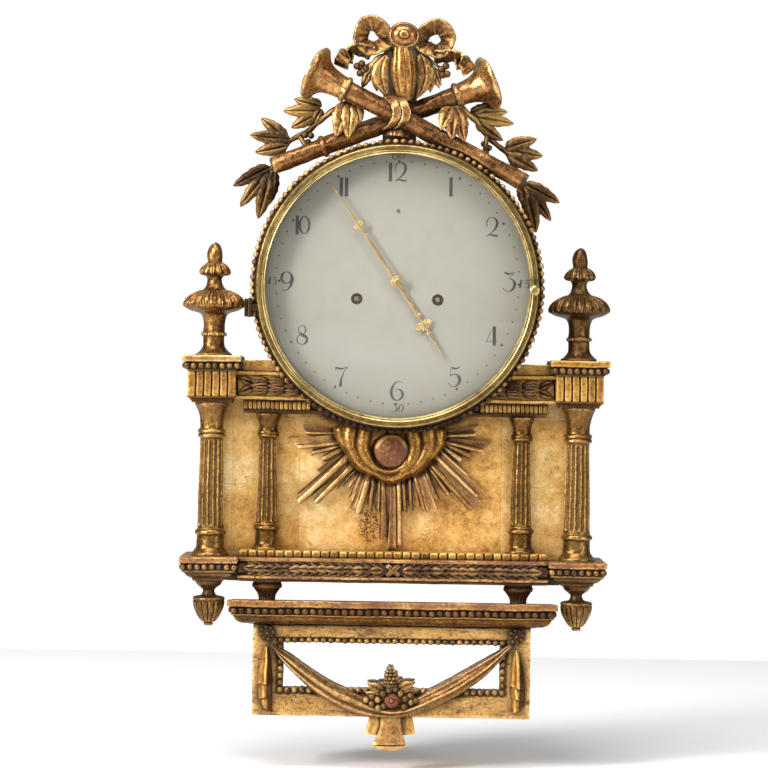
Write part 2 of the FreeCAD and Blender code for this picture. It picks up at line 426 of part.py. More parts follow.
bezel_back = "dims.drum_front+dims.bead_depth+dims.bezel_gap"
bz = lathe("bezel_body", [(150.5, 0), (161.5, 0), (161.5, 4.2), (160.2, 6), (158.6, 6.6), (158, 9.2), (156.2, 12), (154, 13.6), (152.2, 13.2), (151.2, 11.5), (150.5, 9)],
           "bezel_out_rad", "bezel_deep")
at(bz, "0", bezel_back, "0", True)
arc_o, arc_i = [], []
R, rise, tk = S("glass_rad"), S("glass_rise"), S("glass_thick")
sphere = (R * R + rise * rise) / (2 * rise)
for i in range(13):
    r = R * i / 12.0
    arc_o.append((r, math.sqrt(sphere ** 2 - r * r) - (sphere - rise) + tk))
    arc_i.append((r, max(math.sqrt(sphere ** 2 - r * r) - (sphere - rise), 0.0)))
gl = lathe("glass_body", arc_i[::-1] + arc_o, "glass_rad", "glass_rise")
keep("dial_glass", at(gl, "0", bezel_back + "+4", "0", True))
kn = lathe("door_knob", [(0, 0), (2, 0), (2, 3.4), (3.4, 4.4), (4.6, 7), (4.6, 9.4), (3.2, 12), (0, 13)])
keep("bezel_knob", at(kn, "156", bezel_back + "+dims.bezel_deep-1", "-3.3", True))
keep("bezel_ring", cut("bezel_drilled", bz, rod("bezel_bore", "4.7", bezel_back + "+dims.bezel_deep-1", bezel_back + "+dims.bezel_deep+3", "156", "-3.3")))

# door hinge: knuckle and leaf on the bezel, strap with two knuckles and the pin on the drum
hx, hz = "dims.hinge_x", "dims.hinge_mid_z"
kn_out = post("knuckle_out", "dims.knuckle_rad", hx, "dims.hinge_depth", hz + "-4", hz + "+4")
kn_in = post("knuckle_in", "dims.pin_rad+dims.run_clear", hx, "dims.hinge_depth", hz + "-5", hz + "+5")
leaf = slab("leaf", hx + "+2", "-156", "dims.hinge_depth+1.2", "dims.hinge_depth-1.2", hz + "-4", hz + "+4")
leaf_cut = rod("leaf_cut", "dims.bezel_out_rad+0.02", "dims.drum_front", "dims.hinge_depth+30")
keep("bezel_hinge", cut("knuckle_bored", fuse("knuckle_leaf", [kn_out, cut("leaf_trim", leaf, leaf_cut)]), kn_in))
k1 = post("fixed_knuckle_a", "dims.knuckle_rad", hx, "dims.hinge_depth", hz + "+4.4", hz + "+10")
k2 = post("fixed_knuckle_b", "dims.knuckle_rad", hx, "dims.hinge_depth", hz + "-10", hz + "-4.4")
pin = post("hinge_pin", "dims.pin_rad", hx, "dims.hinge_depth", hz + "-11", hz + "+11")
arm1 = slab("strap_arm_a", hx + "-6", hx, "dims.hinge_depth+1", "dims.hinge_depth-1.6", hz + "+4.4", hz + "+10")
arm2 = slab("strap_arm_b", hx + "-6", hx, "dims.hinge_depth+1", "dims.hinge_depth-1.6", hz + "-10", hz + "-4.4")
back_arm = slab("strap_back", hx + "-6", hx + "-3.8", "dims.hinge_depth+1", "96", hz + "-10", hz + "+10")
foot = slab("strap_foot", hx + "-6", "-150", "100", "96", hz + "-10", hz + "+10")
foot_cut = rod("strap_foot_cut", "dims.drum_out_rad+0.02", "0", "dims.drum_front")
keep("hinge_bracket", cut("bracket_trim", fuse("bracket_all", [k1, k2, pin, arm1, arm2, back_arm, foot]), foot_cut))

# ---------------------------------------------------------------- hands
def hand(name, length, tail, hub, hole, rear, front, angle, cross, width):
    """A slender hand with a pierced cross ornament; angle clockwise from 12."""
    w = width
    pts = [(-w, -tail), (w, -tail), (w, cross - 9), (w * 0.7, cross - 5)]
    pts += [(5.2, cross - 1.2), (5.2, cross + 1.2), (w * 0.7, cross + 4), (w * 0.55, cross + 9), (0.25, length), (-0.25, length)]
    pts += [(-w * 0.55, cross + 9), (-w * 0.7, cross + 4), (-5.2, cross + 1.2), (-5.2, cross - 1.2), (-w * 0.7, cross - 5), (-w, cross - 9)]
    face = Part.Face(Part.makePolygon([V(x, 0, z) for x, z in pts] + [V(pts[0][0], 0, pts[0][1])]))
    blade = face.extrude(V(0, -(front - rear), 0))
    disc = Part.makeCylinder(hub, front - rear, V(0, 0, 0), V(0, -1, 0))
    bore = Part.makeCylinder(hole, front - rear + 2, V(0, 1, 0), V(0, -1, 0))
    f = solid(name, blade.fuse(disc).cut(bore).removeSplitter())
    f.Placement = FreeCAD.Placement(V(0, -rear, S("hand_z")), FreeCAD.Rotation(V(0, 1, 0), angle))
    return f


keep("minute_hand", hand("minute_blade", 139, 14, 8, S("cannon_rad"), 113.4, 114.8, 325.2, 80, 1.7))
keep("hour_hand", hand("hour_blade", 106, 12, 9.4, S("hour_pipe_rad"), 109.4, 110.9, 147.2, 58, 2.0))
nut_o = rod("nut_out", "6.5", "114.9", "117.6", "0", "dims.hand_z")
nut_i = rod("nut_in", "dims.centre_rad+dims.run_clear", "113", "119", "0", "dims.hand_z")
nut_c = rod("nut_step", "dims.cannon_rad", "113", "116", "0", "dims.hand_z")
keep("hand_nut", cut("nut_bored", cut("nut_stepped", nut_o, nut_c), nut_i))

# ------------------------------------------------------------------- movement
HZ = S("hand_z")
WX, WZ = S("wind_x"), S("wind_z")
C = (0.0, HZ)
GB, SB = (WX, WZ), (-WX, WZ)
M_GREAT = math.hypot(GB[0] - C[0], GB[1] - C[1]) / 45.0


def polar(p, r, deg):
    return (p[0] + r * math.cos(math.radians(deg)), p[1] + r * math.sin(math.radians(deg)))


T = polar(C, 44 * 0.75, 90)
E = polar(T, 39 * 0.7, 90)
A = polar(E, 22.4, 90)
P1 = polar(SB, 45 * M_GREAT, 100)
P2 = polar(P1, 36 * 0.75, 75)
P3 = polar(P2, 33 * 0.65, 60)
HM = (-62.0, 92.5)
MW = polar(C, 31.5, -90)


def heading(p, q):
    return math.degrees(math.atan2(q[1] - p[1], q[0] - p[0]))


def eyed(pts, half, thick):
    """A plate with the given outline and a square eye."""
    eye = [V(-half, 0, -half), V(half, 0, -half), V(half, 0, half), V(-half, 0, half)]
    face = Part.makeFace([Part.makePolygon(pts + [pts[0]]), Part.makePolygon(eye + [eye[0]])], "Part::FaceMakerBullseye")
    return face.extrude(V(0, -thick, 0))


def toothed(name, teeth, module, rear, front, bore_half, centre, phase):
    """A spur gear with straight-sided teeth and a square eye; phase puts a tooth on that bearing."""
    rp = teeth * module / 2.0
    ra, rr = rp + 0.7 * module, rp - 1.05 * module
    pitch = 2 * math.pi / teeth
    pts = []
    for i in range(teeth):
        a = math.radians(phase) + i * pitch
        for r, w in ((rr, -0.23), (rp, -0.17), (ra, -0.08), (ra, 0.08), (rp, 0.17), (rr, 0.23)):
            pts.append(V(r * math.cos(a + w * pitch), 0, r * math.sin(a + w * pitch)))
    f = solid(name, eyed(pts, bore_half, front - rear))
    f.Placement = FreeCAD.Placement(V(centre[0], -rear, centre[1]), FreeCAD.Rotation())
    return f


def ex(p):
    return "%.6f" % p[0], "%.6f" % p[1]


rear0, rear1 = "dims.rear_plate", "dims.rear_plate+dims.plate_thick"
fore0, fore1 = "dims.fore_plate", "dims.fore_plate+dims.plate_thick"
small = [T, E, A, P1, P2, P3, HM]
for tag, z0, z1 in (("rear", rear0, rear1), ("fore", fore0, fore1)):
    blank = slab(tag + "_blank", "-dims.plate_half", "dims.plate_half", z1, z0, "dims.plate_low", "dims.plate_top")
    drills = [rod("%s_pivot_%d" % (tag, i), "dims.arbor_rad+dims.run_clear", z0 + "-1", z1 + "+1", *ex(p)) for i, p in enumerate(small)]
    drills.append(rod(tag + "_centre_hole", "dims.centre_rad+dims.run_clear", z0 + "-1", z1 + "+1", *ex(C)))
    drills.append(rod(tag + "_wind_hole_g", "dims.wind_rad+dims.run_clear", z0 + "-1", z1 + "+1", "dims.wind_x", "dims.wind_z"))
    drills.append(rod(tag + "_wind_hole_s", "dims.wind_rad+dims.run_clear", z0 + "-1", z1 + "+1", "-dims.wind_x", "dims.wind_z"))
    drilled = cut(tag + "_drilled", blank, group(tag + "_drills", drills))
    if tag == "fore":
        stud = rod("minute_stud", "dims.arbor_rad", z1, z1 + "+11", *ex(MW))
        keep("front_plate", fuse("fore_fuse", [drilled, stud]))
    else:
        pil = []
        for i, (x, z) in enumerate(((-76, 94), (76, 94), (-76, -58), (76, -58))):
            pil.append(rod("pillar_%d" % i, "dims.pillar_rad", rear1, fore0, str(x), str(z)))
            pil.append(rod("standoff_%d" % i, "dims.pillar_rad", "dims.back_thick", rear0, str(x), str(z)))
        keep("back_plate", fuse("rear_fuse", [drilled] + pil))

# suspension cock on the rear plate
cock_a = slab("cock_foot", "-14", "14", rear0, "dims.rear_plate-3", "89.8", "101.5")
cock_b = slab("cock_arm", "-7", "7", "dims.rear_plate-3", "24", "93.5", "100.5")
cock_hole = rod("cock_hole", "dims.arbor_rad+0.6", "20", "dims.rear_plate+1", *ex(A))
keep("suspension_cock", cut("cock_bored", fuse("cock_fuse", [cock_a, cock_b]), cock_hole))

# bell on its stand
bell_o = [(0, 17), (7.5, 16.2), (14.5, 13), (20, 8), (22.8, 3.4), (24, 0)]
bell_i = [(21.8, 0), (20.8, 3.4), (18.2, 7), (13.2, 11), (6.8, 13.9), (0, 14.6)]
bd = lathe("bell_dome", bell_o + bell_i, "bell_mouth", "bell_high")
at(bd, "0", "71", "106")
bell_arm = slab("bell_arm", "-4", "4", "75", "dims.rear_plate", "122.9", "126")
bell_leg = slab("bell_leg", "-4", "4", "dims.rear_plate+3", "dims.rear_plate", "102", "126")
keep("bell", fuse("bell_fuse", [bd, bell_arm, bell_leg]))


def arbor(name, p, rear="dims.rear_plate", front="dims.fore_plate+dims.plate_thick", rad="dims.arbor_rad"):
    return rod(name, rad, rear, front, *ex(p))


ar, cr = S("arbor_rad"), S("centre_rad")
# going train
def barrel(tag, p):
    shell = rod(tag + "_shell", "dims.barrel_rad", "48", "48+dims.barrel_long", *ex(p))
    eye = rod(tag + "_eye", "dims.wind_rad+dims.run_clear", "47", "49+dims.barrel_long", *ex(p))
    return cut(tag + "_drum", shell, eye)


to_c = heading(GB, C)
great_g = toothed("great_g", 80, M_GREAT, 71.2, 74.2, 6.0, GB, to_c)
keep("going_barrel", group("going_barrel_group", [barrel("going", GB), great_g]))
to_p1 = heading(SB, P1)
great_s = toothed("great_s", 80, M_GREAT, 45.5, 47.8, 6.0, SB, to_p1)
keep("strike_barrel", group("strike_barrel_group", [barrel("strike", SB), great_s]))
for tag, p in (("going", GB), ("strike", SB)):
    rd = arbor(tag + "_wind_rod", p, "dims.rear_plate", "97", "dims.wind_rad")
    sq = slab(tag + "_wind_square", "%.6f-dims.wind_square/2" % p[0], "%.6f+dims.wind_square/2" % p[0], "104.6", "97",
              "%.6f-dims.wind_square/2" % p[1], "%.6f+dims.wind_square/2" % p[1])
    keep(tag + "_winding_arbor", fuse(tag + "_wind_fuse", [rd, sq]))

c_rod = arbor("centre_rod", C, "dims.rear_plate", "119", "dims.centre_rad")
c_pin = toothed("centre_leaves", 10, M_GREAT, 69.6, 75.6, cr, C, heading(C, GB) + 18.0)
c_wheel = toothed("centre_teeth", 80, 0.75, 77, 79.4, cr, C, heading(C, T))
keep("centre_wheel", group("centre_group", [c_rod, c_pin, c_wheel]))
t_pin = toothed("third_leaves", 8, 0.75, 75.8, 80.6, ar, T, heading(T, C) + 22.5)
t_wheel = toothed("third_teeth", 72, 0.7, 66, 68, ar, T, heading(T, E))
keep("third_wheel", group("third_group", [arbor("third_rod", T), t_pin, t_wheel]))
# escape wheel: 30 pointed teeth
ew = []
for i in range(30):
    a = 2 * math.pi * i / 30
    for r, da in ((13.2, -0.07), (16.0, 0.035), (16.0, 0.045), (13.2, 0.06)):
        ew.append(V(r * math.cos(a + da), 0, r * math.sin(a + da)))
e_wheel = solid("escape_teeth", eyed(ew, ar, 2), FreeCAD.Placement(V(E[0], -54, E[1]), FreeCAD.Rotation()))
e_pin = toothed("escape_leaves", 6, 0.7, 64.8, 69.2, 0.85, E, heading(E, T) + 30.0)
e_rod_a = rod("escape_rod_a", "dims.arbor_rad", "dims.rear_plate", "63.6", *ex(E))
e_rod_b = rod("escape_rod_b", "0.85", "63.6", "70.4", *ex(E))
e_rod_c = rod("escape_rod_c", "dims.arbor_rad", "70.4", "dims.fore_plate+dims.plate_thick", *ex(E))
keep("escape_wheel", group("escape_group", [fuse("escape_rod", [e_rod_a, e_rod_b, e_rod_c]), e_pin, e_wheel]))

# pendulum: anchor, arbor, crutch, suspension, rod and bob swing as one
ANCHOR = [(-5, 4.5), (5, 4.5), (17.5, -7), (17.2, -11.6), (13.4, -9.6), (11, -6.4), (4, -2.6), (-4, -2.6), (-11, -6.4), (-13.4, -9.6), (-17.2, -11.6), (-17.5, -7)]
anc = plate("anchor", [(A[0] + x, A[1] + z) for x, z in ANCHOR], 54, 57)
a_rod = arbor("anchor_rod", A, "33")
crutch = slab("crutch", "-3", "3", "38", "34.5", "%.6f-68" % A[1], "%.6f+4" % A[1])
fork = slab("fork", "-2", "2", "34.6", "30", "%.6f-66" % A[1], "%.6f-62" % A[1])
p_rod = slab("pendulum_rod", "-2.5", "2.5", "31", "27", "%.6f-dims.pendulum_long" % A[1], "%.6f-18" % A[1])
spring = slab("suspension_spring", "-0.2", "0.2", "33", "25", "%.6f-20" % A[1], "%.6f+2" % A[1])
bob = lathe("bob", [(0, 0), (22, 0.6), (32, 3), (38, 6.4), (38, 7.6), (32, 11), (22, 13.4), (0, 14)], "bob_rad", "bob_thick")
at(bob, "0", "22", "%.6f-dims.pendulum_long" % A[1], True)
keep("pendulum", fuse("pendulum_fuse", [cut("anchor_bored", anc, rod("anchor_eye", "1.2", "50", "60", *ex(A))), a_rod, crutch, fork, p_rod, spring, bob]))

# strike train
pw_pin = toothed("pin_leaves", 10, M_GREAT, 45.4, 48.2, 2.4, P1, heading(P1, SB) + 18.0)
pw_wheel = toothed("pin_teeth", 64, 0.75, 77, 79.4, ar, P1, heading(P1, P2))
pw_pins = [rod("lift_pin_%d" % i, "1", "79.4", "83.4", *ex(polar(P1, 18.5, 45 * i))) for i in range(8)]
pw_rod = arbor("pin_rod", P1)
pw_sleeve = cut("pin_sleeve", rod("pin_sleeve_o", "2.4", "45.4", "48.2", *ex(P1)), rod("pin_sleeve_i", "dims.arbor_rad", "45", "49", *ex(P1)))
keep("strike_pin_wheel", group("pin_group", [pw_rod, pw_sleeve, pw_pin, pw_wheel] + pw_pins))
hp_pin = toothed("hoop_leaves", 8, 0.75, 75.8, 80.6, ar, P2, heading(P2, P1) + 22.5)
hp_wheel = toothed("hoop_teeth", 60, 0.65, 66, 68, ar, P2, heading(P2, P3))
keep("strike_hoop_wheel", group("hoop_group", [arbor("hoop_rod", P2), hp_pin, hp_wheel]))
fl_pin = toothed("fly_leaves", 6, 0.65, 64.8, 69.2, 0.8, P3, heading(P3, P2) + 30.0)
fl_rod = fuse("fly_rod", [rod("fly_rod_a", "dims.arbor_rad", "dims.rear_plate", "63.6", *ex(P3)), rod("fly_rod_b", "0.8", "63.6", "70.4", *ex(P3)),
                          rod("fly_rod_c", "dims.arbor_rad", "70.4", "dims.fore_plate+dims.plate_thick", *ex(P3))])
fl_vane = cut("fly_vane", slab("fly_vane_blank", "%.6f-13" % P3[0], "%.6f+13" % P3[0], "62", "48", "%.6f-0.6" % P3[1], "%.6f+0.6" % P3[1]),
              rod("fly_vane_eye", "dims.arbor_rad", "47", "63", *ex(P3)))
keep("strike_fly", group("fly_group", [fl_rod, fl_pin, fl_vane]))
# hammer: arbor, arm with head beside the bell's rim, tail over the lifting pins
arm = plate("hammer_arm", [(HM[0] - 3, HM[1] - 2), (HM[0] + 3, HM[1] - 3), (-29, 107.5), (-29, 113), (-33, 113)], 69, 73)
tail = plate("hammer_tail", [(HM[0] - 2.5, HM[1] + 2), (HM[0] + 2.5, HM[1] + 2), (HM[0] + 2, 57.5), (HM[0] - 2, 57.5)], 80, 83)
head = rod("hammer_head", "5", "66", "76", "-29.8", "111")
h_rod = arbor("hammer_rod", HM)
keep("strike_hammer", fuse("hammer_fuse", [arm, tail, head, h_rod]))

# motion work in front of the front plate
cp_pipe = cut("cannon_pipe", rod("cannon_pipe_o", "dims.cannon_rad", "89.6", "115.9", *ex(C)), rod("cannon_pipe_i", "dims.centre_rad+dims.run_clear", "88", "117", *ex(C)))
cp_teeth = toothed("cannon_teeth", 28, 0.75, 90, 92, S("cannon_rad"), C, heading(C, MW))
keep("cannon_pinion", group("cannon_group", [cp_pipe, cp_teeth]))
mw_pipe = cut("minute_pipe", rod("minute_pipe_o", "2.3", "89", "98", *ex(MW)), rod("minute_pipe_i", "dims.arbor_rad+dims.run_clear", "88", "99", *ex(MW)))
mw_teeth = toothed("minute_teeth", 56, 0.75, 90, 92, 2.3, MW, heading(MW, C) + 180.0 / 56)
mw_leaves = toothed("minute_leaves", 10, 0.9, 92.6, 97, 2.3, MW, heading(MW, C))
keep("minute_wheel", group("minute_group", [mw_pipe, mw_teeth, mw_leaves]))
hw_pipe = cut("hour_pipe", rod("hour_pipe_o", "dims.hour_pipe_rad", "93.6", "111.2", *ex(C)), rod("hour_pipe_i", "dims.cannon_rad+dims.run_clear", "93", "112", *ex(C)))
hw_teeth = toothed("hour_teeth", 60, 0.9, 94, 96, S("hour_pipe_rad"), C, heading(C, MW) + 3.0)
keep("hour_wheel", group("hour_group", [hw_pipe, hw_teeth]))
# regulation arbor in its bush behind the dial
rg = rod("reg_rod", "1.2", "92", "102.6", "0", "86.5")
rg_disc = rod("reg_disc", "5", "93", "96", "0", "86.5")
rg_sq = slab("reg_square", "-0.8", "0.8", "104.9", "102.6", "85.7", "87.3")
keep("regulation_arbor", fuse("reg_fuse", [rg, rg_disc, rg_sq]))

# ---------------------------------------------------------------- check, write
doc.recompute()
faults = []
for o in doc.Objects:
    if "Invalid" in o.State or "Error" in o.State:
        faults.append("%s %s" % (o.Name, o.State))
for label, o in NODES.items():
    sh = o.Shape
    if sh.isNull() or not sh.isValid() or not sh.Solids:
        faults.append("%s has no valid solid" % label)
if faults:
    raise RuntimeError("; ".join(faults))
os.makedirs("parts", exist_ok=True)
for label, o in NODES.items():
    o.Shape.exportStep("parts/%s.step" % label)
    bb = o.Shape.BoundBox
    print("%-22s solids %d  x %.1f..%.1f  y %.1f..%.1f  z %.1f..%.1f  vol %.0f" % (label, len(o.Shape.Solids), bb.XMin, bb.XMax, bb.YMin, bb.YMax, bb.ZMin, bb.ZMax, o.Shape.Volume))
print(len(NODES), "nodes")
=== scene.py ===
import bpy, bmesh, math, random
import numpy as np
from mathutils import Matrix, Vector
from mathutils.bvhtree import BVHTree


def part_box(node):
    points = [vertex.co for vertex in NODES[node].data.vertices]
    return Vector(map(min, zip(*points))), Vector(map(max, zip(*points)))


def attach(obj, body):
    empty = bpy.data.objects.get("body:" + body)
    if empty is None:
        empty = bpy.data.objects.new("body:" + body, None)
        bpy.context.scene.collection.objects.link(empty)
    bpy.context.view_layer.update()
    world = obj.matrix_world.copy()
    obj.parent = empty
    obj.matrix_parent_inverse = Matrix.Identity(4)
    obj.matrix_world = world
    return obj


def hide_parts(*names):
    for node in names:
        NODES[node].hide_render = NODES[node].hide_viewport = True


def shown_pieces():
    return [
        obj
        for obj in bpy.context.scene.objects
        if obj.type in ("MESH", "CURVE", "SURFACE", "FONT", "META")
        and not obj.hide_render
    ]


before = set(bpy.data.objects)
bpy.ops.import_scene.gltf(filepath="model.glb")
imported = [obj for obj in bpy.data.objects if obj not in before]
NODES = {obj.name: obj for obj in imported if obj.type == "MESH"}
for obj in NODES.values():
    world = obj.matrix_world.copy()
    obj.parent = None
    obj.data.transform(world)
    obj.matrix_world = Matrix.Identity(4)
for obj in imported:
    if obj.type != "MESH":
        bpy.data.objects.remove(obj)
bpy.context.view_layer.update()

rng = random.Random(11)
pi, sin, cos = math.pi, np.sin, np.cos
FRONT = np.array([0.0, -1.0, 0.0])
UP = np.array([0.0, 0.0, 1.0])
RIGHT = np.array([1.0, 0.0, 0.0])
TH = math.radians(0.9)
CT, ST = math.cos(TH), math.sin(TH)


def at(px, py, d):
    """Point in mm seen at (px, py) in a 768 x 768 picture, d mm forward of the wall."""
    u, v = px - 384.0, py - 384.0
    a, b = u * CT + v * ST, -u * ST + v * CT
    k = 1.15 * (3400.0 - d) / 3300.0
    return np.array([-13.65 + a * k, -d, -112.07 - b * k])


def unit(v):
    v = np.asarray(v, float)
    return v / (np.linalg.norm(v) + 1e-12)


# ---------------------------------------------------------------- mesh helpers (mm)
class Geo:
    def __init__(self):
        self.v, self.t, self.q, self.p, self.n = [], [], [], [], 0

    def add(self, V, quads=None, polys=(), tone=0.5):
        V = np.asarray(V, float).reshape(-1, 3)
        self.v.append(V)
        self.t.append(np.full(len(V), tone) if np.isscalar(tone) else np.asarray(tone, float).ravel())
        if quads is not None and len(quads):
            self.q.append(np.asarray(quads) + self.n)
        for f in polys:
            self.p.append([int(i) + self.n for i in f])
        self.n += len(V)

    def grid(self, P, cu=False, cv=False, tone=0.5, cap0=False, cap1=False):
        P = np.asarray(P, float)
        nu, nv = P.shape[:2]
        I = np.arange(nu * nv).reshape(nu, nv)
        polys = []
        if cap0:
            polys.append(list(I[0]))
        if cap1:
            polys.append(list(I[-1][::-1]))
        if cu:
            I = np.vstack([I, I[:1]])
        if cv:
            I = np.hstack([I, I[:, :1]])
        Q = np.stack([I[:-1, :-1].ravel(), I[1:, :-1].ravel(), I[1:, 1:].ravel(), I[:-1, 1:].ravel()], 1)
        self.add(P.reshape(-1, 3), Q, polys, tone)


def wobble(V, amp):
    """A small uneven drift of hand-cut wood, the same everywhere in space."""
    x, y, z = V[:, 0], V[:, 1], V[:, 2]
    W = np.stack([
        sin(0.071 * z + 0.05 * x + 1.0) + 0.6 * sin(0.23 * z - 0.19 * y + 2.0) + 0.35 * sin(0.61 * x + 0.53 * z),
        sin(0.063 * x + 0.081 * z + 0.4) + 0.6 * sin(0.27 * x + 0.21 * z + 1.2) + 0.35 * sin(0.57 * z - 0.66 * x + 0.3),
        sin(0.069 * x - 0.058 * y + 2.2) + 0.6 * sin(0.25 * x + 0.17 * z + 0.8) + 0.35 * sin(0.63 * x - 0.5 * y + 1.7)], 1)
    return V + amp * 0.55 * W


PIECES = []


def make(name, G, mat, body="case", rep=(), sharp=40, wob=0.0, merge=0.015):
    V = np.concatenate(G.v)
    if wob:
        V = wobble(V, wob)
        V[:, 1] = np.minimum(V[:, 1], 0.0)
    faces = []
    for q in G.q:
        faces += q.tolist()
    faces += G.p
    me = bpy.data.meshes.new(name)
    me.from_pydata((V * 0.001).tolist(), [], faces)
    a = me.attributes.new("tone", 'FLOAT', 'POINT')
    a.data.foreach_set("value", np.concatenate(G.t).astype(np.float32))
    bm = bmesh.new()
    bm.from_mesh(me)
    bmesh.ops.remove_doubles(bm, verts=bm.verts, dist=merge * 0.001)
    bmesh.ops.dissolve_degenerate(bm, edges=bm.edges, dist=1e-7)
    loose = [v for v in bm.verts if not v.link_faces]
    if loose:
        bmesh.ops.delete(bm, geom=loose, context='VERTS')
    bmesh.ops.recalc_face_normals(bm, faces=bm.faces)
    bm.to_mesh(me)
    bm.free()
    me.shade_smooth()
    me.set_sharp_from_angle(angle=math.radians(sharp))
    ob = bpy.data.objects.new(name, me)
    bpy.context.scene.collection.objects.link(ob)
    me.materials.append(mat)
    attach(ob, body)
    if rep:
        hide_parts(*rep)
    PIECES.append(ob)
    return ob


def spline(pts, n, closed=False):
    """Smooth line through points, n samples evenly spaced."""
    P = np.asarray(pts, float)
    Q = np.vstack([P[-1:], P, P[:2]]) if closed else np.vstack([2 * P[:1] - P[1:2], P, 2 * P[-1:] - P[-2:-1]])
    t = np.linspace(0, 1, 24, endpoint=False)[:, None]
    out = []
    for i in range(len(Q) - 3):
        a, b, c, d = Q[i:i + 4]
        out.append(0.5 * (2 * b + (c - a) * t + (2 * a - 5 * b + 4 * c - d) * t * t + (3 * b - a - 3 * c + d) * t ** 3))
    C = np.vstack(out + ([out[0][:1]] if closed else [P[-1:]]))
    s = np.r_[0, np.cumsum(np.linalg.norm(np.diff(C, axis=0), axis=1))]
    w = np.linspace(0, s[-1], n, endpoint=not closed)
    return np.stack([np.interp(w, s, C[:, j]) for j in range(C.shape[1])], 1)


def soft(prof, step=1.3, corner=44):
    """Fills a profile with curves, keeping the corners that are sharp."""
    P = np.array(prof, float)
    D = np.diff(P, axis=0)
    ang = np.arctan2(D[:, 1], D[:, 0])
    turn = np.abs((np.diff(ang) + pi) % (2 * pi) - pi)
    cuts = [0] + [i + 1 for i in range(len(turn)) if turn[i] > math.radians(corner)] + [len(P) - 1]
    out = []
    for a, b in zip(cuts[:-1], cuts[1:]):
        run = P[a:b + 1]
        L = np.linalg.norm(np.diff(run, axis=0), axis=1).sum()
        if len(run) > 2:
            seg = spline(run, max(len(run) + 2, int(L / step) + 2))
        else:
            seg = np.linspace(run[0], run[1], max(2, int(L / (step * 3)) + 2))
        out.append(seg if not out else seg[1:])
    return np.vstack(out)


def axes(kind, o, s2=1.0):
    if isinstance(kind, str) and kind == 'z':
        return np.asarray(o, float), UP, RIGHT, np.array([0, s2, 0.0])
    if isinstance(kind, str) and kind == 'y':
        return np.asarray(o, float), FRONT, RIGHT, np.array([0, 0, s2])
    a = unit(kind)
    e1 = unit(np.cross(a, FRONT))
    return np.asarray(o, float), a, e1, np.cross(a, e1)


def lathe(G, prof, o, n=64, kind='z', disp=None, tone=0.5, step=1.3, corner=44, s2=1.0, raw=False, fix=None):
    P = np.array(prof, float) if raw else soft(prof, step, corner)
    r, h = P[:, 0], P[:, 1]
    T = np.gradient(P, axis=0)
    L = np.hypot(T[:, 0], T[:, 1]) + 1e-9
    nr, nh = T[:, 1] / L, -T[:, 0] / L
    th = np.linspace(0, 2 * pi, n, endpoint=False)[:, None]
    D = 0.0 if disp is None else disp(th, h[None], r[None])
    R = np.maximum(r[None] + D * nr[None], 0.0) + 0 * th
    H = h[None] + D * nh[None] + 0 * th
    o, a, e1, e2 = axes(kind, o, s2)
    V = o + H[..., None] * a + (R * cos(th))[..., None] * e1 + (R * sin(th))[..., None] * e2
    if fix is not None:
        V = fix(V)
    G.grid(V, cu=True, tone=tone, cap0=False)


_U = np.linspace(0, 2 * pi, 12, endpoint=False)[:, None]
_W = np.linspace(-pi / 2, pi / 2, 9)[None]
SPH = np.stack([cos(_U) * cos(_W), sin(_U) * cos(_W), sin(_W) + 0 * _U], 2)


def ball(G, c, r, tone=0.5, sx=1.0, sy=1.0, sz=1.0):
    G.grid(np.asarray(c, float) + SPH * (np.array([sx, sy, sz]) * r), cu=True, tone=tone)


def beads(G, centres, r, jit=0.06, sq=(1, 1, 1)):
    for c in centres:
        k = 1 + rng.uniform(-jit, jit)
        ball(G, np.asarray(c) + np.array([rng.uniform(-.25, .25) for _ in range(3)]), r * k,
             0.5 + rng.uniform(-.3, .3), sq[0], sq[1], sq[2])


def boxsweep(G, x0, x1, d0, d1, prof, step=5.0, bev=0.7, tone=0.5, pstep=2.0, raw=False, back=True):
    """A block whose left, front and right sides follow one profile of (inset, height); d is depth from the wall."""
    P = np.array(prof, float) if raw else soft(prof, pstep)
    zz = P[:, 1]
    f0 = x0 if callable(x0) else (lambda z: x0)
    f1 = x1 if callable(x1) else (lambda z: x1)
    xa, xb = f0(zz[0]), f1(zz[0])
    nl, nf = max(2, int((d1 - d0) / step)), max(2, int(abs(xb - xa) / step))
    rows = []
    for ins, z in P:
        a = f0(z) + (0 if callable(x0) else ins)
        b = f1(z) - (0 if callable(x1) else ins)
        f = d1 - ins
        w = min(bev, (b - a) * 0.2)
        L = []
        for t in np.linspace(0, 1, nl + 1):
            L.append((a, d0 + (f - w - d0) * t))
        L.append((a + 0.3 * w, f - 0.3 * w))
        for t in np.linspace(0, 1, nf + 1):
            L.append((a + w + (b - a - 2 * w) * t, f))
        L.append((b - 0.3 * w, f - 0.3 * w))
        for t in np.linspace(0, 1, nl + 1):
            L.append((b, f - w + (d0 - f + w) * t))
        rows.append([(x, -d, z) for x, d in L])
    G.grid(rows, cv=True, tone=tone, cap0=True, cap1=True)


